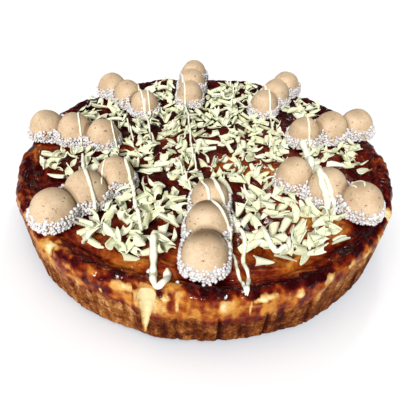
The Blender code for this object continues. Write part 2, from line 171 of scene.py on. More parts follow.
def face_outwards(obj: Object, merge: bool = False) -> None:
    """Turns an object's faces outwards.

    Args:
        obj: The object.
        merge: Whether its doubles are merged first.
    """
    select_only(obj)
    bpy.ops.object.mode_set(mode="EDIT")
    bpy.ops.mesh.select_all(action="SELECT")
    if merge:
        bpy.ops.mesh.remove_doubles(threshold=MERGE_DISTANCE)
    bpy.ops.mesh.normals_make_consistent(inside=False)
    bpy.ops.object.mode_set(mode="OBJECT")
    deselect()


def read_points(mesh: Mesh) -> Array:
    """Gives a mesh's vertices, one row each."""
    flat = np.empty(len(mesh.vertices) * 3)
    mesh.vertices.foreach_get("co", flat)
    return flat.reshape(-1, 3)


def write_points(mesh: Mesh, points: Array) -> None:
    """Moves a mesh's vertices to new places."""
    mesh.vertices.foreach_set("co", np.ascontiguousarray(points, dtype=np.float32).ravel())
    mesh.update()


def add_mask(mesh: Mesh, name: str, values: Array) -> None:
    """Stores one number for each vertex, which a material reads by its name."""
    attribute = mesh.attributes.new(name, "FLOAT", "POINT")
    attribute.data.foreach_set("value", np.ascontiguousarray(values, dtype=np.float32))


@dataclass
class Mould:
    """A small shape that is modelled once and then copied many times.

    Attributes:
        points: Its vertices, one row each.
        faces: Its faces, one row of vertex numbers each.
    """

    points: Array
    faces: Array

    @staticmethod
    def of(obj: Object) -> "Mould":
        """Takes the shape of an object and removes the object.

        Args:
            obj: A mesh object whose faces all have the same number of corners.

        Returns:
            The shape.
        """
        mesh = obj.data
        faces = np.array([tuple(face.vertices) for face in mesh.polygons])
        mould = Mould(read_points(mesh), faces)
        bpy.data.objects.remove(obj)
        bpy.data.meshes.remove(mesh)
        return mould

    def cast(self, name: str, copies: Sequence[Array]) -> Object:
        """Makes one piece of many copies.

        Args:
            name: The piece's name.
            copies: For each copy, its own vertices in the shape's order.

        Returns:
            The new object, at the origin.
        """
        count = len(self.points)
        corners = self.faces.shape[1]
        points = np.concatenate(copies)
        faces = np.concatenate([self.faces + count * i for i in range(len(copies))])
        mesh = bpy.data.meshes.new(name)
        mesh.vertices.add(len(points))
        mesh.loops.add(faces.size)
        mesh.polygons.add(len(faces))
        mesh.loops.foreach_set("vertex_index", faces.ravel())
        mesh.polygons.foreach_set("loop_start", np.arange(0, faces.size, corners))
        mesh.update()
        write_points(mesh, points)
        mesh.validate()
        obj = bpy.data.objects.new(name, mesh)
        bpy.context.scene.collection.objects.link(obj)
        return obj


def add_copy_shade(obj: Object, per_copy: int, seed: int) -> None:
    """Gives each copy in a piece its own number from 0 to 1, for small differences of colour.

    Args:
        obj: The piece.
        per_copy: How many vertices one copy has.
        seed: Start of the random numbers.
    """
    draw = np.random.default_rng(seed)
    count = len(obj.data.vertices) // per_copy
    add_mask(obj.data, "shade", np.repeat(draw.random(count), per_copy))


def smooth_by_angle(obj: Object, degrees: float) -> None:
    """Shades an object smooth, but keeps its edges over an angle sharp."""
    select_only(obj)
    bpy.ops.object.shade_smooth_by_angle(angle=math.radians(degrees))
    deselect()


# Shader maths

# The colour sockets of a Mix node, by number, as its number and vector sockets have the same names
MIX_FIRST = 6
MIX_SECOND = 7
MIX_RESULT = 2


@dataclass(frozen=True)
class Signal:
    """A socket's value, which can be written in a formula.

    Attributes:
        recipe: The material that the socket belongs to.
        socket: The output socket.
    """

    recipe: "Recipe"
    socket: NodeSocket

    def _maths(self, operation: str, first: Any, second: Any) -> "Signal":
        """Adds a Math node of two values."""
        return self.recipe.node("ShaderNodeMath", {"operation": operation}, {0: first, 1: second})

    def __add__(self, other: Any) -> "Signal":
        """Adds."""
        return self._maths("ADD", self, other)

    __radd__ = __add__

    def __sub__(self, other: Any) -> "Signal":
        """Subtracts."""
        return self._maths("SUBTRACT", self, other)

    def __rsub__(self, other: Any) -> "Signal":
        """Subtracts this value from another."""
        return self._maths("SUBTRACT", other, self)

    def __mul__(self, other: Any) -> "Signal":
        """Multiplies."""
        return self._maths("MULTIPLY", self, other)

    __rmul__ = __mul__

    def between(self, low: float, high: float) -> "Signal":
        """Runs from 0 at the low value to 1 at the high one, and stays there beyond."""
        settings = {"clamp": True}
        return self.recipe.node("ShaderNodeMapRange", settings, {"Value": self, "From Min": low, "From Max": high})


@dataclass
class Recipe:
    """One material while its nodes are being added.

    Attributes:
        name: The material's name.
    """

    name: str
    material: Material = field(init=False)

    def __post_init__(self) -> None:
        """Starts the material with its shader."""
        self.material = bpy.data.materials.new(self.name)
        self.material.use_nodes = True

    @property
    def shader(self) -> Node:
        """The material's Principled shader."""
        return self.material.node_tree.nodes["Principled BSDF"]

    def node(self, kind: str, settings: Optional[dict[str, Any]] = None, inputs: Optional[dict[Any, Any]] = None,
             output: Any = 0) -> Signal:
        """Adds a node, sets it up and feeds its sockets.

        Args:
            kind: The node's type.
            settings: Its settings, such as an operation, or the stops of a ramp.
            inputs: A value or a signal for each socket, by name or number.
            output: Which output to give back.

        Returns:
            The output socket.
        """
        made = self.material.node_tree.nodes.new(kind)
        for key, value in (settings or {}).items():
            if key == "stops":
                self._set_stops(made.color_ramp, value)
            else:
                setattr(made, key, value)
        for key, value in (inputs or {}).items():
            self.feed(made.inputs[key], value)
        return Signal(self, made.outputs[output])

    @staticmethod
    def _set_stops(ramp: ColorRamp, stops: Sequence[tuple[float, Colour]]) -> None:
        """Gives a ramp its stops.

        Args:
            ramp: The ramp.
            stops: The place and the colour of each stop.
        """
        while len(ramp.elements) < len(stops):
            ramp.elements.new(0.5)
        for element, (place, colour) in zip(ramp.elements, stops):
            element.position = place
            element.color = (*colour, 1.0)

    def feed(self, socket: NodeSocket, value: Any) -> None:
        """Links a signal to a socket, or sets the socket to a value.

        Args:
            socket: The socket.
            value: The signal or the value.
        """
        if isinstance(value, Signal):
            self.material.node_tree.links.new(value.socket, socket)
        elif isinstance(value, tuple) and len(value) == 3 and socket.type == "RGBA":
            socket.default_value = (*value, 1.0)
        else:
            socket.default_value = value

    def place(self, stretch: tuple[float, float, float] = (1.0, 1.0, 1.0)) -> Signal:
        """Gives the place on the object, squeezed along each axis by a factor.

        Args:
            stretch: The factor for each axis.

        Returns:
            The place.
        """
        coordinates = self.node("ShaderNodeTexCoord", output="Object")
        if stretch == (1.0, 1.0, 1.0):
            return coordinates
        return self.node("ShaderNodeMapping", {}, {"Vector": coordinates, "Scale": stretch})

    def clouds(self, size: float, detail: float = 4.0, roughness: float = 0.55, where: Optional[Signal] = None,
               distortion: float = 0.0) -> Signal:
        """Gives soft uneven values round 0.5.

        Args:
            size: Rough length of one cloud.
            detail: How many finer layers there are.
            roughness: How strong the finer layers are.
            where: The place to read, or none for the place on the object.
            distortion: How much the clouds are swirled.

        Returns:
            The values.
        """
        inputs = {"Vector": where or self.place(), "Scale": 1.0 / size, "Detail": detail, "Roughness": roughness,
                  "Distortion": distortion}
        return self.node("ShaderNodeTexNoise", {}, inputs)

    def mask(self, name: str) -> Signal:
        """Reads a number that the mesh stores for each vertex."""
        return self.node("ShaderNodeAttribute", {"attribute_name": name}, {}, "Fac")

    def mix(self, share: Any, first: Any, second: Any) -> Signal:
        """Mixes two colours."""
        inputs = {0: share, MIX_FIRST: first, MIX_SECOND: second}
        return self.node("ShaderNodeMix", {"data_type": "RGBA"}, inputs, MIX_RESULT)

    def ramp(self, value: Signal, stops: Sequence[tuple[float, Colour]]) -> Signal:
        """Turns a value into a colour."""
        return self.node("ShaderNodeValToRGB", {"stops": stops}, {"Fac": value}, "Color")

    def bump(self, height: Signal, distance: float, strength: float = 1.0) -> Signal:
        """Turns a height into a change of the surface's normal."""
        inputs = {"Height": height, "Distance": distance, "Strength": strength}
        return self.node("ShaderNodeBump", {}, inputs, "Normal")

    def finish(self, **sockets: Any) -> Material:
        """Feeds the shader's sockets, whose names are written with underscores.

        Args:
            **sockets: A value or signal for each socket.

        Returns:
            The finished material.
        """
        for name, value in sockets.items():
            self.feed(self.shader.inputs[name.replace("_", " ")], value)
        return self.material


# Finishes


@dataclass(frozen=True)
class CrustFinish:
    """The cake's skin from the oven: glossy and blistered on top, dry and mottled on the wall, pale where it is
    split; its tones carry some painted light and painted shade.

    Attributes:
        burnt: Darkest colour of the top.
        dark: Red-brown of most of the top.
        brown: Lighter brown between them.
        orange: Orange-brown of the front.
        golden: Yellow-brown of the least baked places.
        wall_dark: Darkest colour of the wall.
        wall_brown: Middle colour of the wall.
        wall_tan: Light colour of the wall.
        wall_pale: Palest flecks of the wall.
        crumb: Colour of the cake inside.
        toasted: Colour round the places where the skin is open.
    """

    burnt: Colour = (0.021, 0.0008, 0.0012)
    dark: Colour = (0.062, 0.0024, 0.0016)
    brown: Colour = (0.135, 0.0120, 0.0028)
    orange: Colour = (0.29, 0.064, 0.0065)
    golden: Colour = (0.50, 0.205, 0.030)
    wall_dark: Colour = (0.036, 0.0060, 0.0030)
    wall_brown: Colour = (0.120, 0.0260, 0.0055)
    wall_tan: Colour = (0.260, 0.088, 0.019)
    wall_pale: Colour = (0.52, 0.28, 0.11)
    crumb: Colour = (0.72, 0.61, 0.36)
    toasted: Colour = (0.56, 0.31, 0.085)

    def make(self) -> Material:
        """Builds the material."""
        recipe = Recipe("cheesecake_crust")
        broad = recipe.clouds(0.015, 5.0, 0.58, distortion=0.5)
        fine = recipe.clouds(0.0028, 5.0, 0.68)
        tone = recipe.mask("tone") + (broad - 0.5) * 1.6 + (fine - 0.5) * 0.65
        top = recipe.ramp(tone, ((0.0, self.burnt), (0.22, self.dark), (0.47, self.brown), (0.72, self.orange),
                                 (1.0, self.golden)))
        mottle = recipe.clouds(0.006, 8.0, 0.75, distortion=0.6)
        streaks = recipe.clouds(0.0030, 5.0, 0.65, recipe.place((1.0, 1.0, 0.14)))
        grain = recipe.clouds(0.0011, 3.0, 0.7)
        dryness = recipe.mask("wall_tone") + (mottle - 0.5) * 2.0 + (streaks - 0.5) * 0.6 + (grain - 0.5) * 0.8
        wall = recipe.ramp(dryness, ((0.08, self.wall_dark), (0.36, self.wall_brown), (0.62, self.wall_tan),
                                     (0.94, self.wall_pale)))
        side = (recipe.mask("wall") + (mottle - 0.5) * 0.9 + (streaks - 0.5) * 0.6).between(0.35, 0.65)
        skin = recipe.mix(side, top, wall)
        opened = (recipe.mask("crumb") * ((fine - 0.5) * 1.8 + (mottle - 0.5) * 1.2 + 1.0)).between(0.12, 0.80)
        tint = recipe.mix((broad - 0.5) * 1.5 + 0.02, self.crumb, self.toasted)
        colour = recipe.mix(opened * 2.0, skin, self.toasted)
        colour = recipe.mix(opened * 2.0 - 1.0, colour, tint)
        roughness = 0.30 + side * 0.34 + opened * 0.25 + (fine - 0.5) * 0.3
        glints = (fine * 0.5 + grain * 0.5).between(0.50, 0.60)
        height = broad * 0.5 + fine * 0.5 + (mottle + grain * 0.4) * side * 0.6
        return recipe.finish(Base_Color=colour, Roughness=roughness, Normal=recipe.bump(height, 0.0011, 0.9),
                             Coat_Weight=(glints * 0.62 + 0.10) * (1.0 - recipe.mask("dry")), Coat_Roughness=0.10,
                             Specular_IOR_Level=0.02)


@dataclass(frozen=True)
class WaferFinish:
    """A wafer's matt shell with dark specks, and brown painted shade over its crowns and in its creases, partly its
    own browning.

    Attributes:
        pale: The shell where it is least browned.
        tan: The shell elsewhere.
        brown: Painted shade over the crowns and in the creases, partly the shell's own browning.
        speck: The dark specks.
    """

    pale: Colour = (0.63, 0.475, 0.310)
    tan: Colour = (0.49, 0.340, 0.205)
    brown: Colour = (0.165, 0.098, 0.042)
    speck: Colour = (0.13, 0.07, 0.035)

    def make(self) -> Material:
        """Builds the material."""
        recipe = Recipe("wafer_shell")
        broad = recipe.clouds(0.014, 4.0, 0.55)
        grain = recipe.clouds(0.0012, 4.0, 0.7)
        # Painted shade: the crowns' inner sides and the creases darken towards the brown colour, partly the shell's
        # own browning.
        bake_and_shade = (recipe.mask("bake_and_shade") + (broad - 0.5) * 0.5 + (grain - 0.5) * 0.25).between(0.25, 1.0)
        shell = recipe.mix((broad + (grain - 0.5) * 0.8).between(0.35, 0.65), self.tan, self.pale)
        shell = recipe.mix(bake_and_shade, shell, self.brown)
        specks = recipe.clouds(0.0021, 2.0, 0.5).between(0.655, 0.70)
        colour = recipe.mix(specks * 0.80, shell, self.speck)
        height = grain * 0.6 + broad * 0.4
        return recipe.finish(Base_Color=colour, Roughness=0.62 + (grain - 0.5) * 0.2,
                             Normal=recipe.bump(height, 0.00025, 0.7), Specular_IOR_Level=0.35)


@dataclass(frozen=True)
class NibFinish:
    """White sugar nibs, greyed at random with painted shade, some of them stained by the wafer.

    Attributes:
        white: The cleanest nibs.
        lilac_shade: Their cool grey, painted shade.
        stained: Nibs with some wafer crumb on them.
    """

    white: Colour = (0.72, 0.70, 0.69)
    lilac_shade: Colour = (0.56, 0.53, 0.54)
    stained: Colour = (0.50, 0.38, 0.29)

    def make(self) -> Material:
        """Builds the material."""
        recipe = Recipe("sugar_nibs")
        shade = recipe.mask("shade")
        stains = recipe.clouds(0.009, 3.0, 0.6)
        grain = recipe.clouds(0.0008, 2.0, 0.6)
        # Painted shade: each nib is greyed towards the lilac colour by its own random number.
        colour = recipe.mix(shade.between(0.1, 0.9), self.white, self.lilac_shade)
        colour = recipe.mix((stains + (shade - 0.5) * 0.5).between(0.58, 0.85), colour, self.stained)
        return recipe.finish(Base_Color=colour, Roughness=0.38 + (grain - 0.5) * 0.2,
                             Normal=recipe.bump(grain, 0.0001, 0.6), Subsurface_Weight=0.12, Subsurface_Scale=0.002)


@dataclass(frozen=True)
class ChocolateFinish:
    """White chocolate.

    Attributes:
        name: The material's name.
        light: Its palest colour.
        deep: Its fullest colour.
        roughness: How soft its sheen is.
    """

    name: str
    light: Colour
    deep: Colour
    roughness: float

    def make(self) -> Material:
        """Builds the material."""
        recipe = Recipe(self.name)
        cloudy = recipe.clouds(0.006, 3.0, 0.55)
        scrape = recipe.clouds(0.0011, 3.0, 0.6)
        amount = (recipe.mask("shade") * 0.7 + (cloudy - 0.5) * 0.8 + 0.15).between(0.0, 1.0)
        colour = recipe.mix(amount, self.light, self.deep)
        return recipe.finish(Base_Color=colour, Roughness=self.roughness + (scrape - 0.5) * 0.25,
                             Normal=recipe.bump(scrape + cloudy, 0.00012, 0.7), Subsurface_Weight=0.10,
                             Subsurface_Scale=0.002)


CURL_CHOCOLATE = ChocolateFinish("curl_chocolate", (0.79, 0.805, 0.62), (0.70, 0.70, 0.43), 0.40)
DRIZZLE_CHOCOLATE = ChocolateFinish("drizzle_chocolate", (0.88, 0.87, 0.72), (0.78, 0.77, 0.57), 0.34)


@dataclass(frozen=True)
class FloorFinish:
    """The plain pale studio floor, with a painted shadow close to the cake."""

    colour: Colour = (0.885, 0.885, 0.89)
    shaded: Colour = (0.60, 0.63, 0.67)
    near: float = 0.134
    far: float = 0.172

    def make(self) -> Material:
        """Builds the material."""
        recipe = Recipe("studio_floor")
        # Painted shadow: between the near and far radii the floor goes from the shaded colour to its own.
        away = recipe.node("ShaderNodeVectorMath", {"operation": "LENGTH"}, {0: recipe.place()}, "Value")
        open_floor = away.between(self.near, self.far)
        open_floor = open_floor * (open_floor * -1.0 + 2.0)
        return recipe.finish(Base_Color=recipe.mix(open_floor, self.shaded, self.colour), Roughness=0.8,
                             Specular_IOR_Level=0.1)


# Where the wafers lie


@dataclass(frozen=True)
class Seat:
    """Where a wafer lies on the cake.

    Attributes:
        name: The wafer's name.
        x: Place of its middle.
        y: Place of its middle.
        heading: Direction of its outer end, in degrees.
        size: Its size as a share of the full one.
        lift: Height of its underside at the middle.
        tilt: How far its outer end is raised, in degrees.
    """

    name: str
    x: float
    y: float
    heading: float
    size: float
    lift: float
    tilt: float

    @property
    def frame(self) -> Matrix:
        """Turns the wafer's own coordinates into the cake's."""
        headed = Matrix.Rotation(math.radians(self.heading), 4, "Z")
        tilted = Matrix.Rotation(-math.radians(self.tilt), 4, "Y")
        return Matrix.Translation((self.x, self.y, self.lift)) @ headed @ tilted

    def placed(self, points: Array) -> Array:
        """Moves points from the wafer's own coordinates to the cake's."""
        turn = np.array(self.frame)
        return points @ turn[:3, :3].T + turn[:3, 3]

    @property
    def along(self) -> Array:
        """Unit vector in plan towards the outer end."""
        return np.array((math.cos(math.radians(self.heading)), math.sin(math.radians(self.heading))))

    def seen_from(self, x: Array, y: Array) -> tuple[Array, Array]:
        """Measures points of the plan along and beside the wafer's middle line.

        Args:
            x: Places in plan.
            y: Places in plan.

        Returns:
            The distance along the line and the distance beside it, as on a wafer of full size.
        """
        away_x = x - self.x
        away_y = y - self.y
        along = away_x * self.along[0] + away_y * self.along[1]
        across = away_y * self.along[0] - away_x * self.along[1]
        return along / self.size, np.abs(across) / self.size


SEATS = (
    Seat("wafer_front", 0.0032, -0.0863, -92.4, 0.99, 0.04235, 1.679),
    Seat("wafer_front_right", 0.0852, -0.0441, -33.7, 0.97, 0.04168, 1.181),
    Seat("wafer_right", 0.1031, 0.0358, 18.1, 0.95, 0.04198, 1.542),
    Seat("wafer_back_right", 0.0630, 0.0950, 59.1, 0.92, 0.04210, 1.113),
    Seat("wafer_back", -0.0154, 0.1115, 87.8, 0.91, 0.04223, 0.643),
    Seat("wafer_back_left", -0.0727, 0.0832, 137.3, 0.91, 0.04182, 1.596),
    Seat("wafer_left", -0.1052, 0.0181, 169.4, 0.94, 0.04213, 1.555),
    Seat("wafer_front_left", -0.0788, -0.0585, -130.7, 0.99, 0.04204, 1.274),
)


@dataclass(frozen=True)
class WaferShape:
    """The outline of a full-sized wafer: three domes in a row on a flat underside.

    Attributes:
        spacing: Distance between the domes' middles.
        domes: Each dome's middle, half-length, half-width and height, from the outer end to the inner.
        power: How square a dome is; 2 is round.
        foot: Height of the shell's lowest edge.
        blend: How sharp the creases between the domes are.
        nib_proud: How far the band of nibs stands out from the shell.
        nib_height: Height of the band of nibs.
        crease_width: Half-width of the band of nibs in the creases.
    """

    spacing: float = 0.0255
    domes: tuple[tuple[float, float, float, float], ...] = (
        (0.0255, 0.0145, 0.0141, 0.0218),
        (0.0, 0.0145, 0.0144, 0.0234),
        (-0.0255, 0.0135, 0.0132, 0.0222),
    )
    power: float = 2.5
    foot: float = 0.0008
    blend: float = 22.0
    nib_proud: float = 0.0015
    nib_height: float = 0.0085
    crease_width: float = 0.0112

    @property
    def ends(self) -> tuple[float, float]:
        """The places along the wafer where its shell ends."""
        return self.domes[-1][0] - self.domes[-1][1], self.domes[0][0] + self.domes[0][1]

    def section(self, x: Array, extra: float = 0.0, blended: bool = False) -> tuple[Array, Array]:
        """Gives the half-width and the height of the row of domes along its length.

        Args:
            x: Places along the wafer.
            extra: How far outside the shell to measure.
            blended: Whether the creases are softened.

        Returns:
            Half-widths and heights, or zeros beyond the ends.
        """
        widths = []
        heights = []
        for middle, half_length, half_width, height in self.domes:
            share = np.clip(np.abs(np.asarray(x) - middle) / (half_length + extra), 0.0, 1.0)
            part = (1 - share**self.power) ** (1 / self.power)
            widths.append(part * (half_width + extra))
            heights.append(part * height)
        if blended:
            return self._blended(widths), self._blended(heights)
        return np.max(widths, axis=0), np.max(heights, axis=0)

    def _blended(self, values: Sequence[Array]) -> Array:
        """Takes the largest of several values, with the corners between them rounded."""
        return np.sum(np.array(values) ** self.blend, axis=0) ** (1 / self.blend)

    def over(self, half_width: Array, height: Array, around: Array) -> tuple[Array, Array]:
        """Gives points of a dome's cross-section.

        Args:
            half_width: Half-width of the section.
            height: Its height.
            around: Angles from its right foot over the top to its left.

        Returns:
            Places across the wafer and heights.
        """
        power = 2 / self.power
        across = half_width * np.copysign(np.abs(np.cos(around)) ** power, np.cos(around))
        return across, height * np.maximum(0.0, np.sin(around)) ** power

    def band(self, x: Array, extra: float) -> Array:
        """Gives the half-width of the band of nibs, which fills the creases."""
        half_width = self.section(x, extra)[0]
        inside = np.abs(x) < self.spacing
        return np.where(inside, np.maximum(half_width, self.crease_width + extra), half_width)

    def height_over(self, seat: Seat, x: Array, y: Array) -> Array:
        """Gives the height of a wafer over the base of the cake.

        Args:
            seat: The wafer's place.
            x: Places in plan.
            y: Places in plan.

        Returns:
            The height of its upper side at each point, or 0 beside it.
        """
        along, across = seat.seen_from(x, y)
        half_width, height = self.section(along)
        share = np.minimum(1.0, across / np.maximum(half_width, 1e-6))
        dome = height * (1 - share**self.power) ** (1 / self.power)
        band = across < self.band(along, self.nib_proud)
        slope = math.tan(math.radians(seat.tilt))
        raised = seat.lift + seat.size * (np.maximum(dome, self.nib_height) + along * slope)
        return np.where(band, raised, 0.0)

    def covers(self, seat: Seat, x: Array, y: Array, margin: float) -> Array:
        """Tells which points of the plan lie under a wafer's foot, or closer to it than a margin."""
        along, across = seat.seen_from(x, y)
        return across < self.band(along, self.nib_proud + margin / seat.size)

    def any_cover(self, points: Array, margin: float) -> bool:
        """Tells whether any of the points lies under or near a wafer."""
        return any(self.covers(seat, points[:, 0], points[:, 1], margin).any() for seat in SEATS)


WAFER = WaferShape()
SHELL = WaferShape(
    domes=((0.0255, 0.0149, 0.0145, 0.0214), (0.0, 0.0150, 0.0145, 0.0232), (-0.0255, 0.0140, 0.0135, 0.0220)),
    power=2.25,
    blend=14.0,
)


# The cake


@dataclass(frozen=True)
class Split:
    """An opening in the rim, widest at the top.

    Attributes:
        azimuth: Where it is, in degrees.
        width: Its width at the top.
        depth: How far it goes into the cake.
        low: The lowest height that it reaches.
        lean: How much further round its foot lies than its top, in degrees.
    """

    azimuth: float
    width: float
    depth: float
    low: float
    lean: float = 0.0


@dataclass(frozen=True)
class Oval:
    """An oval area of the cake's plan.

    Attributes:
        x: Its middle.
        y: Its middle.
        half_x: Its half-length along X.
        half_y: Its half-length along Y.
    """

    x: float
    y: float
    half_x: float
    half_y: float

    def draw(self, source: random.Random) -> Point:
        """Draws a place inside it, all parts of it equally likely.

        Args:
            source: Random numbers.

        Returns:
            The place.
        """
        away = math.sqrt(source.random())
        around = source.uniform(0, 2 * math.pi)
        return self.x + self.half_x * away * math.cos(around), self.y + self.half_y * away * math.sin(around)


@dataclass(frozen=True)
class Patch(Oval):
    """An area of the top with a colour of its own, stronger or weaker by its amount."""

    amount: float

    def at(self, x: Array, y: Array) -> Array:
        """Gives its effect at points of the plan."""
        away = ((x - self.x) / self.half_x) ** 2 + ((y - self.y) / self.half_y) ** 2
        return self.amount * np.exp(-1.2 * away)


@dataclass
class Cake:
    """The cake's body: its turned form, its folds and blisters, its splits and the colours of its skin.

    Attributes:
        rim_radius: Radius at the widest.
        base_radius: Radius at the foot.
        rim_height: Mean height of the rim.
        top_height: Mean height of the middle.
        steps: Columns of faces round the cake.
        front_share: How much closer together the columns are at the front.
        wafer_dip: Share of its height over the top that the rim loses under a wafer.
        dip_angles: Half-angles at which such a dip starts to end and has ended.
        dip_reach: How far out a wafer has to reach to make one.
        dip_rise: Radii between which a dip deepens.
        rim_rise: Radii between which the top turns up into the rim.
        fold_wander: How far the folds of the top wander in and out.
        fold_limits: Radii between which the folds lie.
        rim_wave: Unevenness of the rim's height.
        swell: Unevenness of the top's height.
        swell_size: Length of that unevenness.
        pleat: Depth of the wall's soft pleats.
        fold_height: Height of the top's folds.
        tone: How light the middle of the top is, from 0 for burnt to 1 for golden.
        front_light_and_bake: How much lighter its front is: painted light, along with a lighter bake.
        back_shade_and_bake: How much darker its back is: painted shade, along with a darker bake.
        wall_tone: How light the wall is, from 0 to 1.
        wall_border: Height at which the skin of the wall meets that of the top.
        pale_reach: How far out the pale places start.
        splits: The openings in the rim.
        creases: Azimuth in degrees, depth and upper end of each thin crack in the wall.
        patches: Areas of the top that are lighter or darker.
        pale_places: Azimuth, height, half-angle and half-height of the places where the wall's skin has come off.
        charred_places: The same for the burnt places of the wall.
        base_round: Rounding of the foot.
        profile: The turned profile, from the middle of the top to the middle of the base.
    """

    rim_radius: float = 0.1400
    base_radius: float = 0.1380
    rim_height: float = 0.0450
    top_height: float = 0.0405
    base_round: float = 0.0030
    steps: int = 640
    front_share: float = 0.35
    wafer_dip: float = 0.65
    dip_angles: tuple[float, float] = (math.radians(7), math.radians(12))
    dip_reach: float = 0.1280
    dip_rise: Point = (0.0850, 0.1110)
    rim_rise: Point = (0.1240, 0.1300)
    fold_wander: float = 0.0017
    fold_limits: tuple[float, float] = (0.0950, 0.1300)
    rim_wave: float = 0.0011
    swell: float = 0.0006
    swell_size: float = 0.035
    pleat: float = 0.0005
    fold_height: float = 0.0017
    tone: float = 0.27
    front_light_and_bake: float = 0.17
    back_shade_and_bake: float = 0.26
    wall_tone: float = 0.44
    wall_border: float = 0.0265
    pale_reach: float = 0.1345
    splits: tuple[Split, ...] = (
        Split(-101.8, 0.0135, 0.0052, 0.0050, -1.6),
        Split(-26.0, 0.0120, 0.0070, 0.0160),
        Split(-132.0, 0.0100, 0.0035, 0.0260),
    )
    creases: tuple[Triple, ...] = (
        (-85.0, 0.0024, 0.0340), (-73.3, 0.0024, 0.0300), (-62.0, 0.0018, 0.0400), (-95.3, 0.0010, 0.0400),
        (-90.5, 0.0007, 0.0280), (-79.5, 0.0008, 0.0380), (-69.0, 0.0008, 0.0370), (-57.5, 0.0010, 0.0380),
        (-51.0, 0.0008, 0.0400), (-44.5, 0.0010, 0.0370), (-37.5, 0.0009, 0.0400), (-111.5, 0.0008, 0.0340),
        (-117.0, 0.0010, 0.0370), (-123.5, 0.0009, 0.0340), (-137.0, 0.0010, 0.0380), (-148.0, 0.0010, 0.0370),
        (-160.0, 0.0008, 0.0380), (-14.0, 0.0010, 0.0380), (-4.0, 0.0008, 0.0340), (16.0, 0.0022, 0.0340),
        (31.0, 0.0010, 0.0380), (44.0, 0.0008, 0.0340), (58.0, 0.0022, 0.0340), (73.0, 0.0009, 0.0380),
        (87.0, 0.0010, 0.0340), (101.0, 0.0022, 0.0340), (116.0, 0.0009, 0.0380), (129.0, 0.0008, 0.0340),
        (143.0, 0.0022, 0.0340), (158.0, 0.0010, 0.0380), (176.0, 0.0022, 0.0340),
    )
    patches: tuple[Patch, ...] = (
        Patch(0.018, -0.010, 0.022, 0.009, 0.50),
        Patch(0.050, -0.015, 0.020, 0.010, 0.55),
        Patch(0.070, -0.057, 0.022, 0.016, 0.60),
        Patch(0.062, -0.108, 0.030, 0.013, 0.40),
        Patch(0.091, -0.079, 0.026, 0.014, 0.55),
        Patch(-0.030, -0.112, 0.040, 0.010, 0.20),
        Patch(-0.090, -0.090, 0.022, 0.016, 0.25),
        Patch(-0.120, -0.010, 0.014, 0.010, 0.30),
        Patch(-0.119, 0.006, 0.012, 0.007, 0.35),
        Patch(-0.055, 0.045, 0.022, 0.016, -0.40),
        Patch(-0.030, -0.030, 0.030, 0.020, -0.10),
    )
    pale_places: tuple[WallPlace, ...] = (
        (-101.5, 0.0370, 4.2, 0.0090),
        (-131.5, 0.0425, 2.6, 0.0045), (-107.5, 0.0420, 3.4, 0.0026), (-97.6, 0.0425, 1.2, 0.0020),
        (-25.0, 0.0360, 2.6, 0.0090), (-75.0, 0.0405, 3.4, 0.0024), (-57.5, 0.0400, 2.6, 0.0032),
        (-95.0, 0.0375, 0.5, 0.0065), (-84.3, 0.0385, 1.5, 0.0050), (-78.2, 0.0350, 0.4, 0.0070),
        (-66.0, 0.0385, 1.1, 0.0035), (-50.0, 0.0390, 1.4, 0.0025), (-43.0, 0.0370, 1.0, 0.0030),
        (-36.0, 0.0380, 0.9, 0.0030), (-114.0, 0.0340, 0.8, 0.0030), (-121.0, 0.0310, 0.9, 0.0020),
        (-147.0, 0.0410, 1.6, 0.0030), (24.0, 0.0390, 1.6, 0.0030), (66.0, 0.0390, 1.8, 0.0030),
        (120.0, 0.0395, 1.6, 0.0030), (168.0, 0.0390, 1.6, 0.0030),
    )
    charred_places: tuple[WallPlace, ...] = (
        (-127.5, 0.0390, 1.7, 0.0030), (-124.0, 0.0370, 1.2, 0.0020), (-118.0, 0.0370, 1.5, 0.0025),
        (-112.0, 0.0360, 1.4, 0.0030), (-104.2, 0.0050, 1.0, 0.0060),
    )
    profile: Array = field(init=False)

    def __post_init__(self) -> None:
        """Works out the turned profile."""
        top = self.top_height
        rim = self.rim_height
        rings = (
            (0.0, top), (0.0450, top + 0.0003), (0.0850, top - 0.0002), (0.1110, top + 0.0002),
            (0.1180, top + 0.0019), (0.1240, top - 0.0007), (0.1300, rim - 0.0008), (0.1345, rim),
            (0.1385, rim - 0.0022), (self.rim_radius, rim - 0.0065),
        )
        foot = ((self.base_radius, self.base_round), (self.base_radius - self.base_round, 0.0), (0.0, 0.0))
        self.profile = self._softened(np.array((*rings, *foot)))

    @staticmethod
    def _softened(corners: Array, spacing: float = 0.0002, reach: float = 0.0011) -> Array:
        """Rounds a profile's corners.

        Args:
            corners: The profile's points.
            spacing: Distance between the points of the result.
            reach: How far each way the corners are rounded.

        Returns:
            The fine profile.
        """
        fine = resample(corners, np.arange(0.0, distances(corners)[-1], spacing))
        span = round(reach / spacing)
        weights = np.hanning(2 * span + 3)[1:-1]
        weights /= weights.sum()
        padded = np.pad(fine, ((span, span), (0, 0)), mode="edge")
        soft = np.stack([np.convolve(padded[:, i], weights, mode="valid") for i in range(2)], axis=1)
        soft[0] = corners[0]
        return np.vstack((soft, corners[-1:]))

    def _dip(self, azimuth: Array) -> Array:
        """Finds where the rim is pressed down.

        Args:
            azimuth: Azimuths.

        Returns:
            1 where a wafer crosses the rim, and 0 away from them.
        """
        dip = np.zeros_like(azimuth)
        flat, end = self.dip_angles
        for seat in SEATS:
            tip = np.array((seat.x, seat.y)) + seat.along * WAFER.ends[1] * seat.size
            if np.hypot(*tip) > self.dip_reach:
                away = np.abs(turn_between(azimuth, math.atan2(tip[1], tip[0])))
                dip = np.maximum(dip, fall(away, end, end - flat))
        return dip

    def _rim_wave(self, azimuth: Array) -> Array:
        """Gives how far the rim stands above or below its mean height."""
        return self.rim_wave * (0.5 * np.sin(3 * azimuth + 0.6) + 0.3 * np.sin(7 * azimuth + 2.0)
                                + 0.35 * np.sin(13 * azimuth + 4.1) + 0.25 * np.sin(23 * azimuth + 1.3))

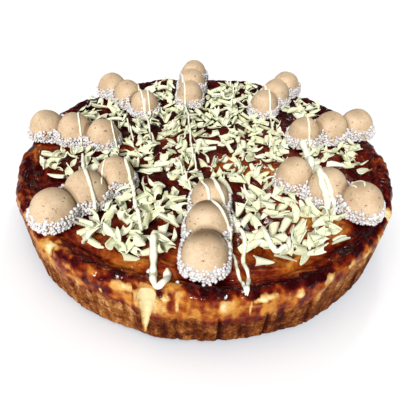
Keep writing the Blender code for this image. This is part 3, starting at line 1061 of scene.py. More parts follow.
    def _fold_shift(self, radius: Array, azimuth: Array) -> Array:
        """Gives how far the folds of the top lie out from their mean radius.

        Args:
            radius: Radii.
            azimuth: Azimuths.

        Returns:
            The distances.
        """
        start, end = self.fold_limits
        inside = rise(radius, start, 0.5 * (end - start))
        outside = fall(radius, end, 0.25 * (end - start))
        wander = np.sin(5 * azimuth + 1.0) + 0.6 * np.sin(11 * azimuth + 2.3)
        return self.fold_wander * np.minimum(inside, outside) * wander

    def _settled(self, x: Array, y: Array, height: Array) -> Array:
        """Gives the profile's height with the slow unevenness of the real top.

        Args:
            x: Places in plan.
            y: Places in plan.
            height: The profile's height there.

        Returns:
            The heights.
        """
        radius = np.hypot(x, y)
        azimuth = np.arctan2(y, x)
        dip = self._dip(azimuth) * rise(radius, self.dip_rise[0], self.dip_rise[1] - self.dip_rise[0])
        rim_share = rise(radius, self.rim_rise[0], self.rim_rise[1] - self.rim_rise[0])
        flat = np.column_stack((x, y, 0 * x)) / self.swell_size
        swell = self.swell * np.array([noise.noise(Vector(p)) for p in flat])
        pressed = height - self.wafer_dip * dip * np.maximum(0.0, height - self.top_height)
        return pressed + rim_share * self._rim_wave(azimuth) * (1 - dip) + (1 - rim_share) * swell

    def _relief(self, radius: Array, azimuth: Array, x: Array, y: Array) -> Array:
        """Gives the folds, blisters and the sunk groove of the top.

        Args:
            radius: Radii in the turned profile.
            azimuth: Azimuths.
            x: Places in plan.
            y: Places in plan.

        Returns:
            How far each point stands over the smooth top.
        """
        flat = np.column_stack((x, y, 0 * x))
        slow = patchy(flat + 0.31, 0.022, 2)
        quick = patchy(flat + 0.77, 0.0055, 3)
        clear = 1 - 0.8 * self._dip(azimuth)
        ring = rise(radius, 0.092, 0.020) * fall(radius, 0.1372, 0.004)
        folds = self.fold_height * self._folds(radius, azimuth, slow)
        strength = self._groove_strength(azimuth)
        groove = -0.0015 * strength * bell(radius, 0.1310, 0.0020)
        bead = 0.0009 * strength * bell(radius, 0.1350, 0.0014)
        wrinkles = 0.0006 * (0.5 - np.abs(patchy(flat + 0.51, 0.0070, 3))) * (0.3 + 0.7 * ring)
        blisters = 0.0007 * patchy(flat + 0.29, 0.0040, 2) * strength * bell(radius, 0.1300, 0.0060)
        lumps = 0.0005 * slow + 0.00055 * quick * (0.4 + 0.6 * ring) + wrinkles + blisters
        edge = 0.0012 * patchy(flat + 0.13, 0.0065, 3) * rise(radius, 0.1270, 0.004)
        return clear * (folds + groove + bead + edge) + lumps * fall(radius, 0.1392, 0.003)

    def _folds(self, radius: Array, azimuth: Array, slow: Array) -> Array:
        """Gives the laps of the wrinkled skin, from about -0.3 in the valleys to 0.5 on the ridges.

        Args:
            radius: Radii in the turned profile.
            azimuth: Azimuths.
            slow: Slow noise at the same points.

        Returns:
            The share of the folds' height.
        """
        ring = rise(radius, 0.092, 0.020) * fall(radius, 0.1385, 0.004)
        phase = radius / 0.0088 + 1.5 * np.sin(2 * azimuth + 0.7) + 1.1 * np.sin(3 * azimuth + 2.1)
        phase += 0.45 * np.sin(7 * azimuth + 0.5) + 1.3 * slow
        step = phase % 1.0
        lap = step**1.3 * (1 - rise(step, 0.76, 0.24)) - 0.32
        return ring * lap * ease(0.8 + 0.9 * np.sin(phase * 2.4 + 5 * azimuth))

    @staticmethod
    def _groove_strength(azimuth: Array) -> Array:
        """Gives how deep and how burnt the groove inside the rim is: most at the front right."""
        broken = 0.22 * ease(0.5 + 0.6 * np.sin(9 * azimuth + 1.0) + 0.5 * np.sin(17 * azimuth))
        return window(azimuth, -80, -24, 10) + 0.5 * window(azimuth, -155, -112, 12) + broken

    def height(self, x: Array, y: Array) -> Array:
        """Gives the height of the cake's top.

        Args:
            x: Places in plan.
            y: Places in plan.

        Returns:
            The height at each point.
        """
        x = np.atleast_1d(np.asarray(x, dtype=float))
        y = np.atleast_1d(np.asarray(y, dtype=float))
        radius = np.hypot(x, y)
        azimuth = np.arctan2(y, x)
        turned = radius - self._fold_shift(radius, azimuth)
        turned = radius - self._fold_shift(turned, azimuth)
        rim = int(np.argmax(self.profile[:, 0]))
        height = np.interp(turned, self.profile[:rim, 0], self.profile[:rim, 1])
        return self._settled(x, y, height) + self._relief(turned, azimuth, x, y)

    def _ring_places(self) -> Array:
        """Chooses the profile's points: closest together on the outer top and the wall."""
        along = distances(self.profile)
        rim = along[int(np.argmax(self.profile[:, 0]))]
        base = along[int(np.argmax((self.profile[:, 1] < 0.0005) & (along > rim)))]
        wanted = np.concatenate((
            np.linspace(0.0, 0.084, 20, endpoint=False), np.linspace(0.084, 0.110, 18, endpoint=False),
            np.linspace(0.110, rim, 46, endpoint=False), np.linspace(rim, base, 46, endpoint=False),
            np.linspace(base, along[-1], 8),
        ))
        return resample(self.profile, wanted)

    def _turned(self) -> Object:
        """Models the plain turned form, by spinning its profile round the cake's axis."""
        rings = self._ring_places()
        deselect()
        bpy.ops.mesh.primitive_plane_add(size=0.01)
        obj = bpy.context.object
        obj.name = obj.data.name = "cake_body"
        bpy.ops.object.mode_set(mode="EDIT")
        bpy.ops.mesh.merge(type="CENTER")
        bpy.ops.transform.translate(value=(rings[0][0], 0.0, rings[0][1]))
        for step in np.diff(rings, axis=0):
            bpy.ops.mesh.extrude_vertices_move(TRANSFORM_OT_translate={"value": (step[0], 0.0, step[1])})
        bpy.ops.object.mode_set(mode="OBJECT")
        turn = obj.modifiers.new("Turn", "SCREW")
        turn.steps = turn.render_steps = self.steps
        turn.use_merge_vertices = True
        turn.merge_threshold = MERGE_DISTANCE
        bpy.ops.object.modifier_apply(modifier=turn.name)
        face_outwards(obj, merge=True)
        return obj

    def _aside(self, azimuth: Array, middle: Array | float) -> Array:
        """Gives how far round the rim points lie from a direction in radians, as a length."""
        return turn_between(azimuth, middle) * self.rim_radius

    @staticmethod
    def _away(place: WallPlace, azimuth: Array, z: Array) -> Array:
        """Measures how far points lie from the middle of a place on the wall.

        Args:
            place: Its azimuth, height, half-angle and half-height.
            azimuth: Azimuths.
            z: Heights.

        Returns:
            The squared distances, which are 1 at its edge.
        """
        middle, height, half_angle, half_height = place
        aside = turn_between(azimuth, math.radians(middle)) / math.radians(half_angle)
        return aside**2 + ((z - height) / half_height) ** 2

    def _wall_relief(self, azimuth: Array, z: Array) -> Array:
        """Gives how far the wall stands out from its smooth form.

        Args:
            azimuth: Azimuths.
            z: Heights.

        Returns:
            The distances.
        """
        pleats = self.pleat * (np.sin(11 * azimuth + 0.8) + 0.8 * np.sin(19 * azimuth + 3.0)
                               + 0.6 * np.sin(29 * azimuth + 1.1 + 25 * z))
        around = np.stack((np.cos(azimuth), np.sin(azimuth)), axis=1) * self.rim_radius
        upright = patchy(np.column_stack((around, 0.15 * z)), 0.0042, 3)
        lumps = patchy(np.column_stack((around, z)) + 0.4, 0.0065, 3)
        broad = patchy(np.column_stack((around, 0.25 * z)) + 0.9, 0.0110, 2)
        out = pleats + 0.00060 * upright + 0.00040 * lumps + 0.0006 * broad
        out += 0.0007 * lumps * rise(z, 0.032, 0.006)
        for middle, depth, end in self.creases:
            aside = self._aside(azimuth, math.radians(middle)) + 0.0008 * lumps + 0.0006 * broad
            tent = np.clip(1 - np.abs(aside) / 0.0013, 0.0, 1.0)
            out -= depth * tent * fall(z, end, 0.010)
        return out

    def _split_limit(self, azimuth: Array, z: Array) -> Array:
        """Gives the largest radius that the splits leave at each point.

        Args:
            azimuth: Azimuths.
            z: Heights.

        Returns:
            The radii.
        """
        limit = np.full_like(azimuth, 1.0)
        for split in self.splits:
            rise = np.clip((z - split.low) / (self.rim_height + 0.004 - split.low), 0.0, 1.0)
            half = 0.5 * split.width * (0.16 + 0.84 * rise**1.2)
            depth = split.depth * (0.45 + 0.55 * np.minimum(1.0, 2.2 * rise)) * (1 - 0.35 * rise**4)
            ragged = 0.0004 * patchy(np.column_stack((azimuth * self.rim_radius, z, 0 * z)), 0.005, 2)
            middle = np.radians(split.azimuth + split.lean * (1 - rise))
            aside = np.abs(self._aside(azimuth, middle) + ragged)
            inside = (aside < half) & (z > split.low)
            left = self.rim_radius - 0.0004 - depth * (1 - (aside / half) ** 3)
            limit = np.where(inside, np.minimum(limit, left), limit)
        return limit

    def _top_tone(self, radius: Array, azimuth: Array, points: Array) -> tuple[Array, Array]:
        """Works out how light the skin of the top is.

        Args:
            radius: Radii in the turned profile.
            azimuth: Azimuths.
            points: The finished vertices.

        Returns:
            The tone, from 0 where it is burnt to 1 where it is golden, and how much of the groove's burn there is.
        """
        x, y, z = points.T
        # Painted light at the front and painted shade at the back, along with a darker bake at the back.
        tone = self.tone + self.front_light_and_bake * fall(y, -0.06, 0.05) - self.back_shade_and_bake * rise(y, 0.025, 0.05)
        for patch in self.patches:
            tone += patch.at(x, y)
        slow = patchy(np.column_stack((x, y, 0 * x)) + 0.31, 0.022, 2)
        front = window(azimuth, -112, -26, 6)
        broad = window(azimuth, -56, -22, 8)
        middle = 0.1305 + 0.0030 * front - 0.0018 * broad
        groove = bell(radius, middle, 0.0028 + 0.0008 * front + 0.0034 * broad)
        burnt = np.minimum(self._groove_strength(azimuth), 0.4 + window(azimuth, -80, -24, 10))
        tone -= (0.30 * burnt + 0.17 * front * (1 - 0.4 * burnt) + 0.36 * broad) * groove * (1 + 0.4 * slow)
        streak = patchy(np.column_stack((radius, 0.025 * azimuth, 0 * x)), 0.0036, 3)
        upper = rise(z, 0.0400, 0.003)
        tone += 0.30 * streak * rise(radius, 0.085, 0.02) * fall(y, 0.02, 0.05) * upper
        tone += 0.42 * self._folds(radius, azimuth, slow) * fall(y, 0.03, 0.05) * upper
        # Painted shade: the top is darker under each wafer and close round its foot.
        for seat in SEATS:
            tone -= 0.20 * WAFER.covers(seat, x, y, 0.0015)
        return tone, np.minimum(1.0, burnt) * np.minimum(1.0, 1.6 * groove)

    def _wall_tone(self, azimuth: Array, z: Array, right: Array, upright: Array) -> Array:
        """Works out how light the skin of the wall is.

        Args:
            azimuth: Azimuths.
            z: Heights.
            right: The share of the right side, where the wall is lighter.
            upright: Noise that is drawn out upwards.

        Returns:
            The tone, from 0 for dark brown to 1 for the palest flecks.
        """
        tone = self.wall_tone + 0.05 * np.sin(3 * azimuth) + 0.25 * upright - 0.20 * fall(z, 0.005, 0.004)
        # Painted light makes the wall lighter at the left; it is also darker at the front middle.
        tone += 0.10 * window(azimuth, -150, -108, 10) - 0.15 * window(azimuth, -104, -62, 8)
        tone += rise(z, 0.018, 0.012) * (0.10 + 0.16 * right + 0.20 * upright)
        # Painted shade in each crack of the wall, darker the deeper the crack.
        for middle, depth, end in self.creases:
            aside = self._aside(azimuth, math.radians(middle))
            tone -= 160 * depth * bell(aside, 0.0, 0.0014) * fall(z, end, 0.010)
        return tone

    def _tones(self, radius: Array, azimuth: Array, points: Array, opened: Array) -> dict[str, Array]:
        """Works out the colours of the skin, vertex by vertex.

        Args:
            radius: Radii in the turned profile.
            azimuth: Azimuths.
            points: The finished vertices.
            opened: How far each vertex lies inside a split.

        Returns:
            The masks that the finish reads.
        """
        z = points[:, 2]
        reach = np.hypot(points[:, 0], points[:, 1])
        outer = reach > self.rim_rise[1]
        lumps = patchy(points, 0.010, 3)
        upright = patchy(points * np.array((1.0, 1.0, 0.2)), 0.005, 3)
        tone, burn = self._top_tone(radius, azimuth, points)
        shoulder = rise(z, 0.022, 0.008) * fall(z, 0.0435, 0.0035) * outer
        charred = window(azimuth, -128, -107, 6) * rise(z, 0.024, 0.004) * fall(z, 0.041, 0.004)
        tone += outer * (0.42 * lumps + 0.45 * upright) + 0.34 * shoulder - 0.25 * charred * outer
        for place in self.charred_places:
            tone -= 0.45 * np.exp(-self._away(place, azimuth, z)) * outer
        right = window(azimuth, -62, 30, 16)
        border = self.wall_border + 0.0130 * right + 0.0040 * window(azimuth, -175, -106, 8)
        border = border + 0.006 * lumps + 0.005 * upright
        wall = fall(z, border, 0.007) * (reach > 0.125)
        dry = np.maximum(wall, 0.6 * outer * fall(z, 0.0405, 0.006))
        crumb = opened.copy()
        for place in self.pale_places:
            away = self._away(place, azimuth, z)
            ragged = 1.5 * np.exp(-away) - 0.42 + 0.6 * upright + 0.4 * lumps
            ragged = np.clip(ragged, 0.0, 0.37 + 0.36 * np.exp(-2.6 * away))
            crumb = np.maximum(crumb, (reach > self.pale_reach) * (away < 4.0) * ragged)
        wall_tone = self._wall_tone(azimuth, z, right, upright)
        dry = np.maximum(dry, 0.3 * burn)
        return {"tone": tone, "wall": wall, "wall_tone": wall_tone, "dry": dry, "crumb": crumb}

    def build(self) -> Object:
        """Models the cake's body, makes it uneven and dresses it."""
        obj = self._turned()
        points = read_points(obj.data)
        radius = np.hypot(points[:, 0], points[:, 1])
        azimuth = np.arctan2(points[:, 1], points[:, 0])
        spread = turn_between(azimuth, math.radians(-90))
        azimuth = azimuth - self.front_share * np.sin(spread)
        z = points[:, 2].copy()
        top = z > self.rim_height - 0.0075
        out = self._fold_shift(radius, azimuth) * top
        out += self._wall_relief(azimuth, z) * rise(radius, 0.1300, 0.008) * ease(z / 0.004)
        x = (radius + out) * np.cos(azimuth)
        y = (radius + out) * np.sin(azimuth)
        lifted = self._settled(x, y, z) + self._relief(radius, azimuth, x, y)
        share = rise(z, self.rim_height - 0.0100, 0.0035)
        height = z + (lifted - z) * share * (z > self.base_round)
        limit = self._split_limit(azimuth, height)
        reach = radius + out
        opened = np.clip((reach - limit) / 0.0026, 0.0, 1.0)
        reach = np.where(reach > limit, limit + 0.05 * (reach - limit), reach)
        placed = np.column_stack((reach * np.cos(azimuth), reach * np.sin(azimuth), height))
        write_points(obj.data, placed)
        for name, values in self._tones(radius, azimuth, placed, opened).items():
            add_mask(obj.data, name, values)
        smooth_by_angle(obj, 60)
        obj.data.materials.append(CrustFinish().make())
        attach(obj, "root")
        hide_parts("cheesecake")
        return obj


# What lies on the cake


class HeightMap:
    """The height of everything that is on the cake so far, in small cells of its plan."""

    def __init__(self, cake: Cake, cell: float = 0.0012, half: float = 0.152) -> None:
        """Starts with the bare top.

        Args:
            cake: The cake.
            cell: Side of a cell.
            half: How far the map reaches each way.
        """
        self.cell = cell
        self.half = half
        self.count = int(2 * half / cell)
        places = (np.arange(self.count) + 0.5) * cell - half
        grid_x, grid_y = np.meshgrid(places, places, indexing="ij")
        heights = cake.height(grid_x.ravel(), grid_y.ravel()).reshape(grid_x.shape)
        self.heights = np.where(np.hypot(grid_x, grid_y) < cake.rim_radius, heights, 0.0)

    def cells(self, points: Array) -> tuple[Array, Array]:
        """Gives the cells that points lie in."""
        index = np.clip(((points[:, :2] + self.half) / self.cell).astype(int), 0, self.count - 1)
        return index[:, 0], index[:, 1]

    def under(self, points: Array) -> Array:
        """Gives the height of what is under each point."""
        return self.heights[self.cells(points)]

    def raise_to(self, points: Array, spread: int = 1) -> None:
        """Notes that something reaches up to these points.

        Args:
            points: Points on its upper side.
            spread: How many cells round each point it covers.
        """
        for shift_x in range(-spread, spread + 1):
            for shift_y in range(-spread, spread + 1):
                moved = points[:, :2] + np.array((shift_x, shift_y)) * self.cell
                where = self.cells(moved)
                np.maximum.at(self.heights, where, points[:, 2])

    def over(self, points: Array) -> Array:
        """Gives the height of the cake, the curls and the wafers at each point.

        Args:
            points: The points.

        Returns:
            The heights.
        """
        height = self.under(points)
        for seat in SEATS:
            height = np.maximum(height, SHELL.height_over(seat, points[:, 0], points[:, 1]))
        return height


@dataclass(frozen=True)
class Heap(Oval):
    """An area in which curls lie, which one layer of them would cover by the share given as its cover."""

    cover: float

    def count(self, each: float) -> int:
        """Gives how many curls of an area lie in the heap."""
        return round(self.cover * math.pi * self.half_x * self.half_y / each)


@dataclass(frozen=True)
class CurlKind:
    """One kind of loose curl, each of its sizes drawn between two limits.

    Attributes:
        share: How many of the curls are of this kind.
        length: Its length.
        wide: Radius of its wide end.
        narrow: Radius of its narrow end as a share of the wide one.
        arc: How far it is wrapped, in degrees.
        first_end: Width of the strip at its narrow end, as a share of the widest.
        second_end: The same at its wide end.
        slant: How much further one side of it may reach, as a share of its length.
        flare: How late along its length it opens.
        notch: How much further the sides of its wide end reach than its middle.
        twist: How far it is twisted, either way, in degrees.
        pitch: How far it may lean along its length, in degrees; below 0 its wide end is up.
    """

    share: float
    length: tuple[float, float]
    wide: tuple[float, float]
    narrow: tuple[float, float]
    arc: tuple[float, float]
    first_end: tuple[float, float]
    second_end: tuple[float, float]
    slant: float
    flare: float
    notch: float
    twist: tuple[float, float]
    pitch: tuple[float, float]


@dataclass
class Curls:
    """The white chocolate curls: thin strips, each wrapped part way round its own cone.

    The first ones are those of the solid model, patch by patch; the loose ones on top of them are finer.

    Attributes:
        cake: The cake under them.
        heap: The map of what lies on the cake, which each curl is added to.
        mould: The flat strip of unit size that every curl is rolled from.
        patches: Middle, radius and number of the curls of the solid model.
        heaps: Areas of the loose curls.
        seed: Start of the random numbers.
        tries: How often a place is sought for each curl of the solid model.
        length: Shortest and longest curl of the solid model, as the next ones are.
        wide: Smallest and largest radius of the wide end.
        narrow_share: Radius of the narrow end as a share of the wide one.
        arc: How far a curl is wrapped.
        pitch: How far it leans along its length.
        roll: How far it is rolled to a side.
        face_down: Share of the curls whose open side is down.
        sunk: How far a curl is sunk into the cake.
        space: Least distance between two curls' middles.
        margin: Least distance from a wafer.
        rim_limit: How far out the curls reach.
        thickness: Thickness of every curl.
        slim: Radius of a curl of the solid model as a share of what its space allows.
        loose_area: Area of a loose curl in plan.
        loose_face_down: Share of the loose curls whose open side is down.
        loose_roll: How far they are rolled to a side, mostly, in degrees.
        loose_bow: How far they are bent along their length.
        loose_sunk: Share of a loose curl that may lie below what carries it.
        front_growth: How much larger the loose curls at the front are.
        front_line: The front starts at this Y.
        height_limit: No loose curl reaches higher.
        kinds: The kinds of loose curls.
    """

    cake: Cake
    heap: HeightMap
    mould: Mould = field(init=False)
    patches: tuple[tuple[float, float, float, int], ...] = (
        (-0.041, -0.080, 0.032, 21), (0.054, -0.080, 0.034, 21), (0.000, 0.012, 0.064, 45), (-0.043, 0.100, 0.022, 7),
        (0.022, 0.104, 0.028, 13), (0.090, 0.080, 0.018, 5), (0.112, 0.000, 0.020, 6), (-0.100, -0.018, 0.020, 6),
        (-0.086, 0.058, 0.016, 5),
    )
    heaps: tuple[Heap, ...] = (
        Heap(0.002, 0.024, 0.062, 0.050, 0.50), Heap(0.025, 0.092, 0.024, 0.030, 0.80),
        Heap(-0.045, 0.090, 0.018, 0.028, 0.55), Heap(-0.085, 0.058, 0.026, 0.024, 0.45),
        Heap(-0.095, -0.018, 0.034, 0.014, 0.70), Heap(-0.044, -0.078, 0.034, 0.030, 1.25),
        Heap(0.050, -0.074, 0.036, 0.032, 1.10), Heap(0.106, 0.004, 0.028, 0.014, 0.80),
        Heap(0.085, 0.075, 0.024, 0.018, 0.80), Heap(-0.025, -0.036, 0.020, 0.018, 0.60),
        Heap(0.028, -0.040, 0.020, 0.018, 0.55), Heap(-0.060, 0.000, 0.020, 0.024, 0.55),
        Heap(0.070, -0.004, 0.022, 0.022, 0.50),
    )
    seed: int = 11
    tries: int = 60
    length: tuple[float, float] = (0.0110, 0.0165)
    wide: tuple[float, float] = (0.0038, 0.0050)
    narrow_share: tuple[float, float] = (0.25, 0.85)
    arc: tuple[float, float] = (math.radians(95), math.radians(150))
    pitch: tuple[float, float] = (math.radians(4), math.radians(30))
    roll: float = math.radians(38)
    face_down: float = 0.55
    sunk: float = 0.0007
    space: float = 0.0086
    margin: float = 0.0006
    rim_limit: float = 0.1290
    thickness: float = 0.0007
    slim: float = 0.66
    loose_area: float = 0.0000175
    loose_face_down: float = 0.30
    loose_roll: float = 40.0
    loose_bow: Point = (-0.0020, 0.0008)
    loose_sunk: float = 0.10
    front_growth: float = 1.22
    front_line: float = -0.045
    height_limit: float = 0.0545
    kinds: tuple[CurlKind, ...] = (
        CurlKind(0.46, (0.0060, 0.0088), (0.0022, 0.0031), (0.30, 0.80), (105, 165), (0.05, 0.45), (0.75, 1.00), 0.60,
                 1.0, 0.35, (60, 150), (-45, 25)),
        CurlKind(0.32, (0.0052, 0.0076), (0.0024, 0.0033), (0.05, 0.35), (150, 220), (0.60, 1.00), (0.70, 1.00), 0.55,
                 0.9, 0.30, (0, 50), (-70, -15)),
        CurlKind(0.15, (0.0065, 0.0098), (0.0017, 0.0025), (0.45, 1.00), (170, 260), (0.40, 1.00), (0.50, 1.00), 0.45,
                 1.0, 0.20, (0, 90), (-38, 38)),
        CurlKind(0.07, (0.0085, 0.0125), (0.0012, 0.0017), (0.80, 1.00), (240, 320), (0.70, 1.00), (0.70, 1.00), 0.20,
                 1.0, 0.0, (0, 0), (-25, 25)),
    )

    def __post_init__(self) -> None:
        """Models the flat strip: a thin slab, a few faces long and wide."""
        deselect()
        bpy.ops.mesh.primitive_grid_add(x_subdivisions=4, y_subdivisions=5, size=1.0)
        strip = bpy.context.object
        thick = strip.modifiers.new("Thick", "SOLIDIFY")
        thick.thickness = 1.0
        thick.offset = 0.0
        bpy.ops.object.modifier_apply(modifier=thick.name)
        self.mould = Mould.of(strip)

    def _rolled(self, length: float, wide: float, narrow: float, arc: float, turn: Matrix,
                ends: tuple[float, float], bow: float, slant: float, flare: float = 1.0,
                notch: float = 0.0, twist: float = 0.0) -> Array:
        """Wraps the flat strip round a cone and turns it.

        Args:
            length: The curl's length.
            wide: Radius at one end.
            narrow: Radius at the other end.
            arc: How far the strip goes round.
            turn: How the curl is turned.
            ends: Width of each end as a share of the widest.
            bow: How far the curl is bent along its length.
            slant: How much further its wide end reaches on one side than on the other.
            flare: How late along its length it opens; 1 makes a plain cone.
            notch: How much further the sides of its wide end reach than its middle, as a share of the length.
            twist: How far its wide end is turned against its narrow one.

        Returns:
            The curl's vertices, round the origin.
        """
        u, v, w = self.mould.points.T
        share = u + 0.5
        radius = narrow + (wide - narrow) * np.clip(share, 0.0, 1.0) ** flare
        end = np.where(share < 0.5, ends[0], ends[1])
        around = arc * v * (end + (1 - end) * np.sin(math.pi * np.clip(share, 0.0, 1.0)) ** 0.7)
        out = radius + self.thickness * w
        x = length * (u + notch * share * (4 * v * v - 0.3)) + slant * v * share
        y = out * np.sin(around)
        z = 0.6 * radius - out * np.cos(around) + bow * (1 - 4 * u * u)
        cosine, sine = np.cos(twist * u), np.sin(twist * u)
        return np.column_stack((x, cosine * y - sine * z, sine * y + cosine * z)) @ np.array(turn).T

    @staticmethod
    def _turned(heading: float, pitch: float, roll: float) -> Matrix:
        """Gives a curl's turn: rolled first, then leaned along its length, then headed."""
        return Matrix.Rotation(heading, 3, "Z") @ Matrix.Rotation(pitch, 3, "Y") @ Matrix.Rotation(roll, 3, "X")

    def _solid_model_curls(self) -> list[Array]:
        """Places the curls of the solid model, with the same draws in the same order."""
        draw = random.Random(self.seed)
        extra = random.Random(self.seed + 1)
        placed: list[Point] = []
        made = []
        for middle_x, middle_y, radius, count in self.patches:
            done = 0
            for _ in range(self.tries * count):
                x, y = Oval(middle_x, middle_y, radius, radius).draw(draw)
                if any(math.hypot(x - a, y - b) < self.space for a, b in placed):
                    continue
                points = self._model_curl(draw, extra, x, y)
                if points is not None:
                    placed.append((x, y))
                    made.append(points)
                    self.heap.raise_to(points)
                    done += 1
                if done == count:
                    break
        return made

    def _model_curl(self, draw: random.Random, extra: random.Random, x: float, y: float) -> Optional[Array]:
        """Makes one curl of the solid model, or nothing where it would cross the rim or a wafer.

        Args:
            draw: Random numbers that the solid model draws too.
            extra: Random numbers for what only the look needs.
            x: Its place in plan.
            y: Its place in plan.

        Returns:
            Its vertices.
        """
        length = draw.uniform(*self.length)
        wide = draw.uniform(*self.wide)
        narrow = wide * draw.uniform(*self.narrow_share)
        arc = draw.uniform(*self.arc)
        flip = math.pi if draw.random() < self.face_down else 0.0
        turn = self._turned(draw.uniform(0, 2 * math.pi), draw.uniform(*self.pitch) * draw.choice((-1, 1)),
                            flip + draw.uniform(-self.roll, self.roll))
        corners = [
            turn @ Vector((length * u, r * math.sin(arc * v), -r * math.cos(arc * v)))
            for u, r in ((-0.5, narrow), (0.5, wide)) for v in (-0.5, 0.0, 0.5)
        ]
        plan = np.array([(c.x + x, c.y + y) for c in corners])
        if np.hypot(*plan.T).max() >= self.rim_limit or WAFER.any_cover(plan, self.margin + 0.0006):
            return None
        low = min(c.z for c in corners)
        ends = (extra.uniform(0.3, 1.0), extra.uniform(0.5, 1.0))
        points = self._rolled(length, wide * self.slim, narrow * self.slim, 1.4 * arc, turn, ends, 0.0,
                              extra.uniform(-0.004, 0.004))
        lift = float(self.cake.height(x, y)[0]) - self.sunk - 0.5 * (low + points[:, 2].min())
        return points + np.array((x, y, lift))

    def _loose_curls(self) -> list[Array]:
        """Drops the loose curls one after another on what lies there already."""
        draw = random.Random(self.seed + 2)
        waiting = [area for area in self.heaps for _ in range(area.count(self.loose_area))]
        draw.shuffle(waiting)
        made = []
        for area in waiting:
            x, y = area.draw(draw)
            points = self._loose_curl(draw, x, y)
            if points is not None:
                made.append(points)
        return made

    def _loose_curl(self, draw: random.Random, x: float, y: float) -> Optional[Array]:
        """Makes one loose curl, or nothing where it would lie on a wafer or over the rim.

        Args:
            draw: Random numbers.
            x: Its place in plan.
            y: Its place in plan.

        Returns:
            Its vertices.
        """
        grown = self.front_growth if y < self.front_line else 1.0
        kind = draw.choices(self.kinds, [kind.share for kind in self.kinds])[0]
        length = grown * draw.uniform(*kind.length)
        wide = grown * draw.uniform(*kind.wide)
        narrow = wide * draw.uniform(*kind.narrow)
        arc = math.radians(draw.uniform(*kind.arc))
        flip = math.pi if draw.random() < self.loose_face_down else 0.0
        turn = self._turned(draw.uniform(0, 2 * math.pi), math.radians(draw.uniform(*kind.pitch)),
                            flip + math.radians(draw.gauss(0, self.loose_roll)))
        ends = (draw.uniform(*kind.first_end), draw.uniform(*kind.second_end))
        twist = math.radians(draw.uniform(*kind.twist)) * draw.choice((-1, 1))
        slant = draw.uniform(-kind.slant, kind.slant) * length
        points = self._rolled(length, wide, narrow, arc, turn, ends, draw.uniform(*self.loose_bow), slant,
                              kind.flare, kind.notch, twist)
        points = points + np.array((x, y, 0.0))
        if np.hypot(points[:, 0], points[:, 1]).max() > self.rim_limit - 0.001:
            return None
        if WAFER.any_cover(points, 0.0002):
            return None
        points[:, 2] -= np.quantile(points[:, 2] - self.heap.under(points), self.loose_sunk)
        if points[:, 2].max() > self.height_limit:
            return None
        self.heap.raise_to(points)
        return points

    def build(self) -> Object:
        """Makes every curl, as one piece."""
        copies = self._solid_model_curls()
        log.info("curls of the solid model: %d", len(copies))
        copies += self._loose_curls()
        obj = self.mould.cast("chocolate_curls", copies)
        add_copy_shade(obj, len(self.mould.points), self.seed)
        smooth_by_angle(obj, 65)
        obj.data.materials.append(CURL_CHOCOLATE.make())
        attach(obj, "root")
        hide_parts("cheesecake")
        log.info("curls in all: %d", len(copies))
        return obj


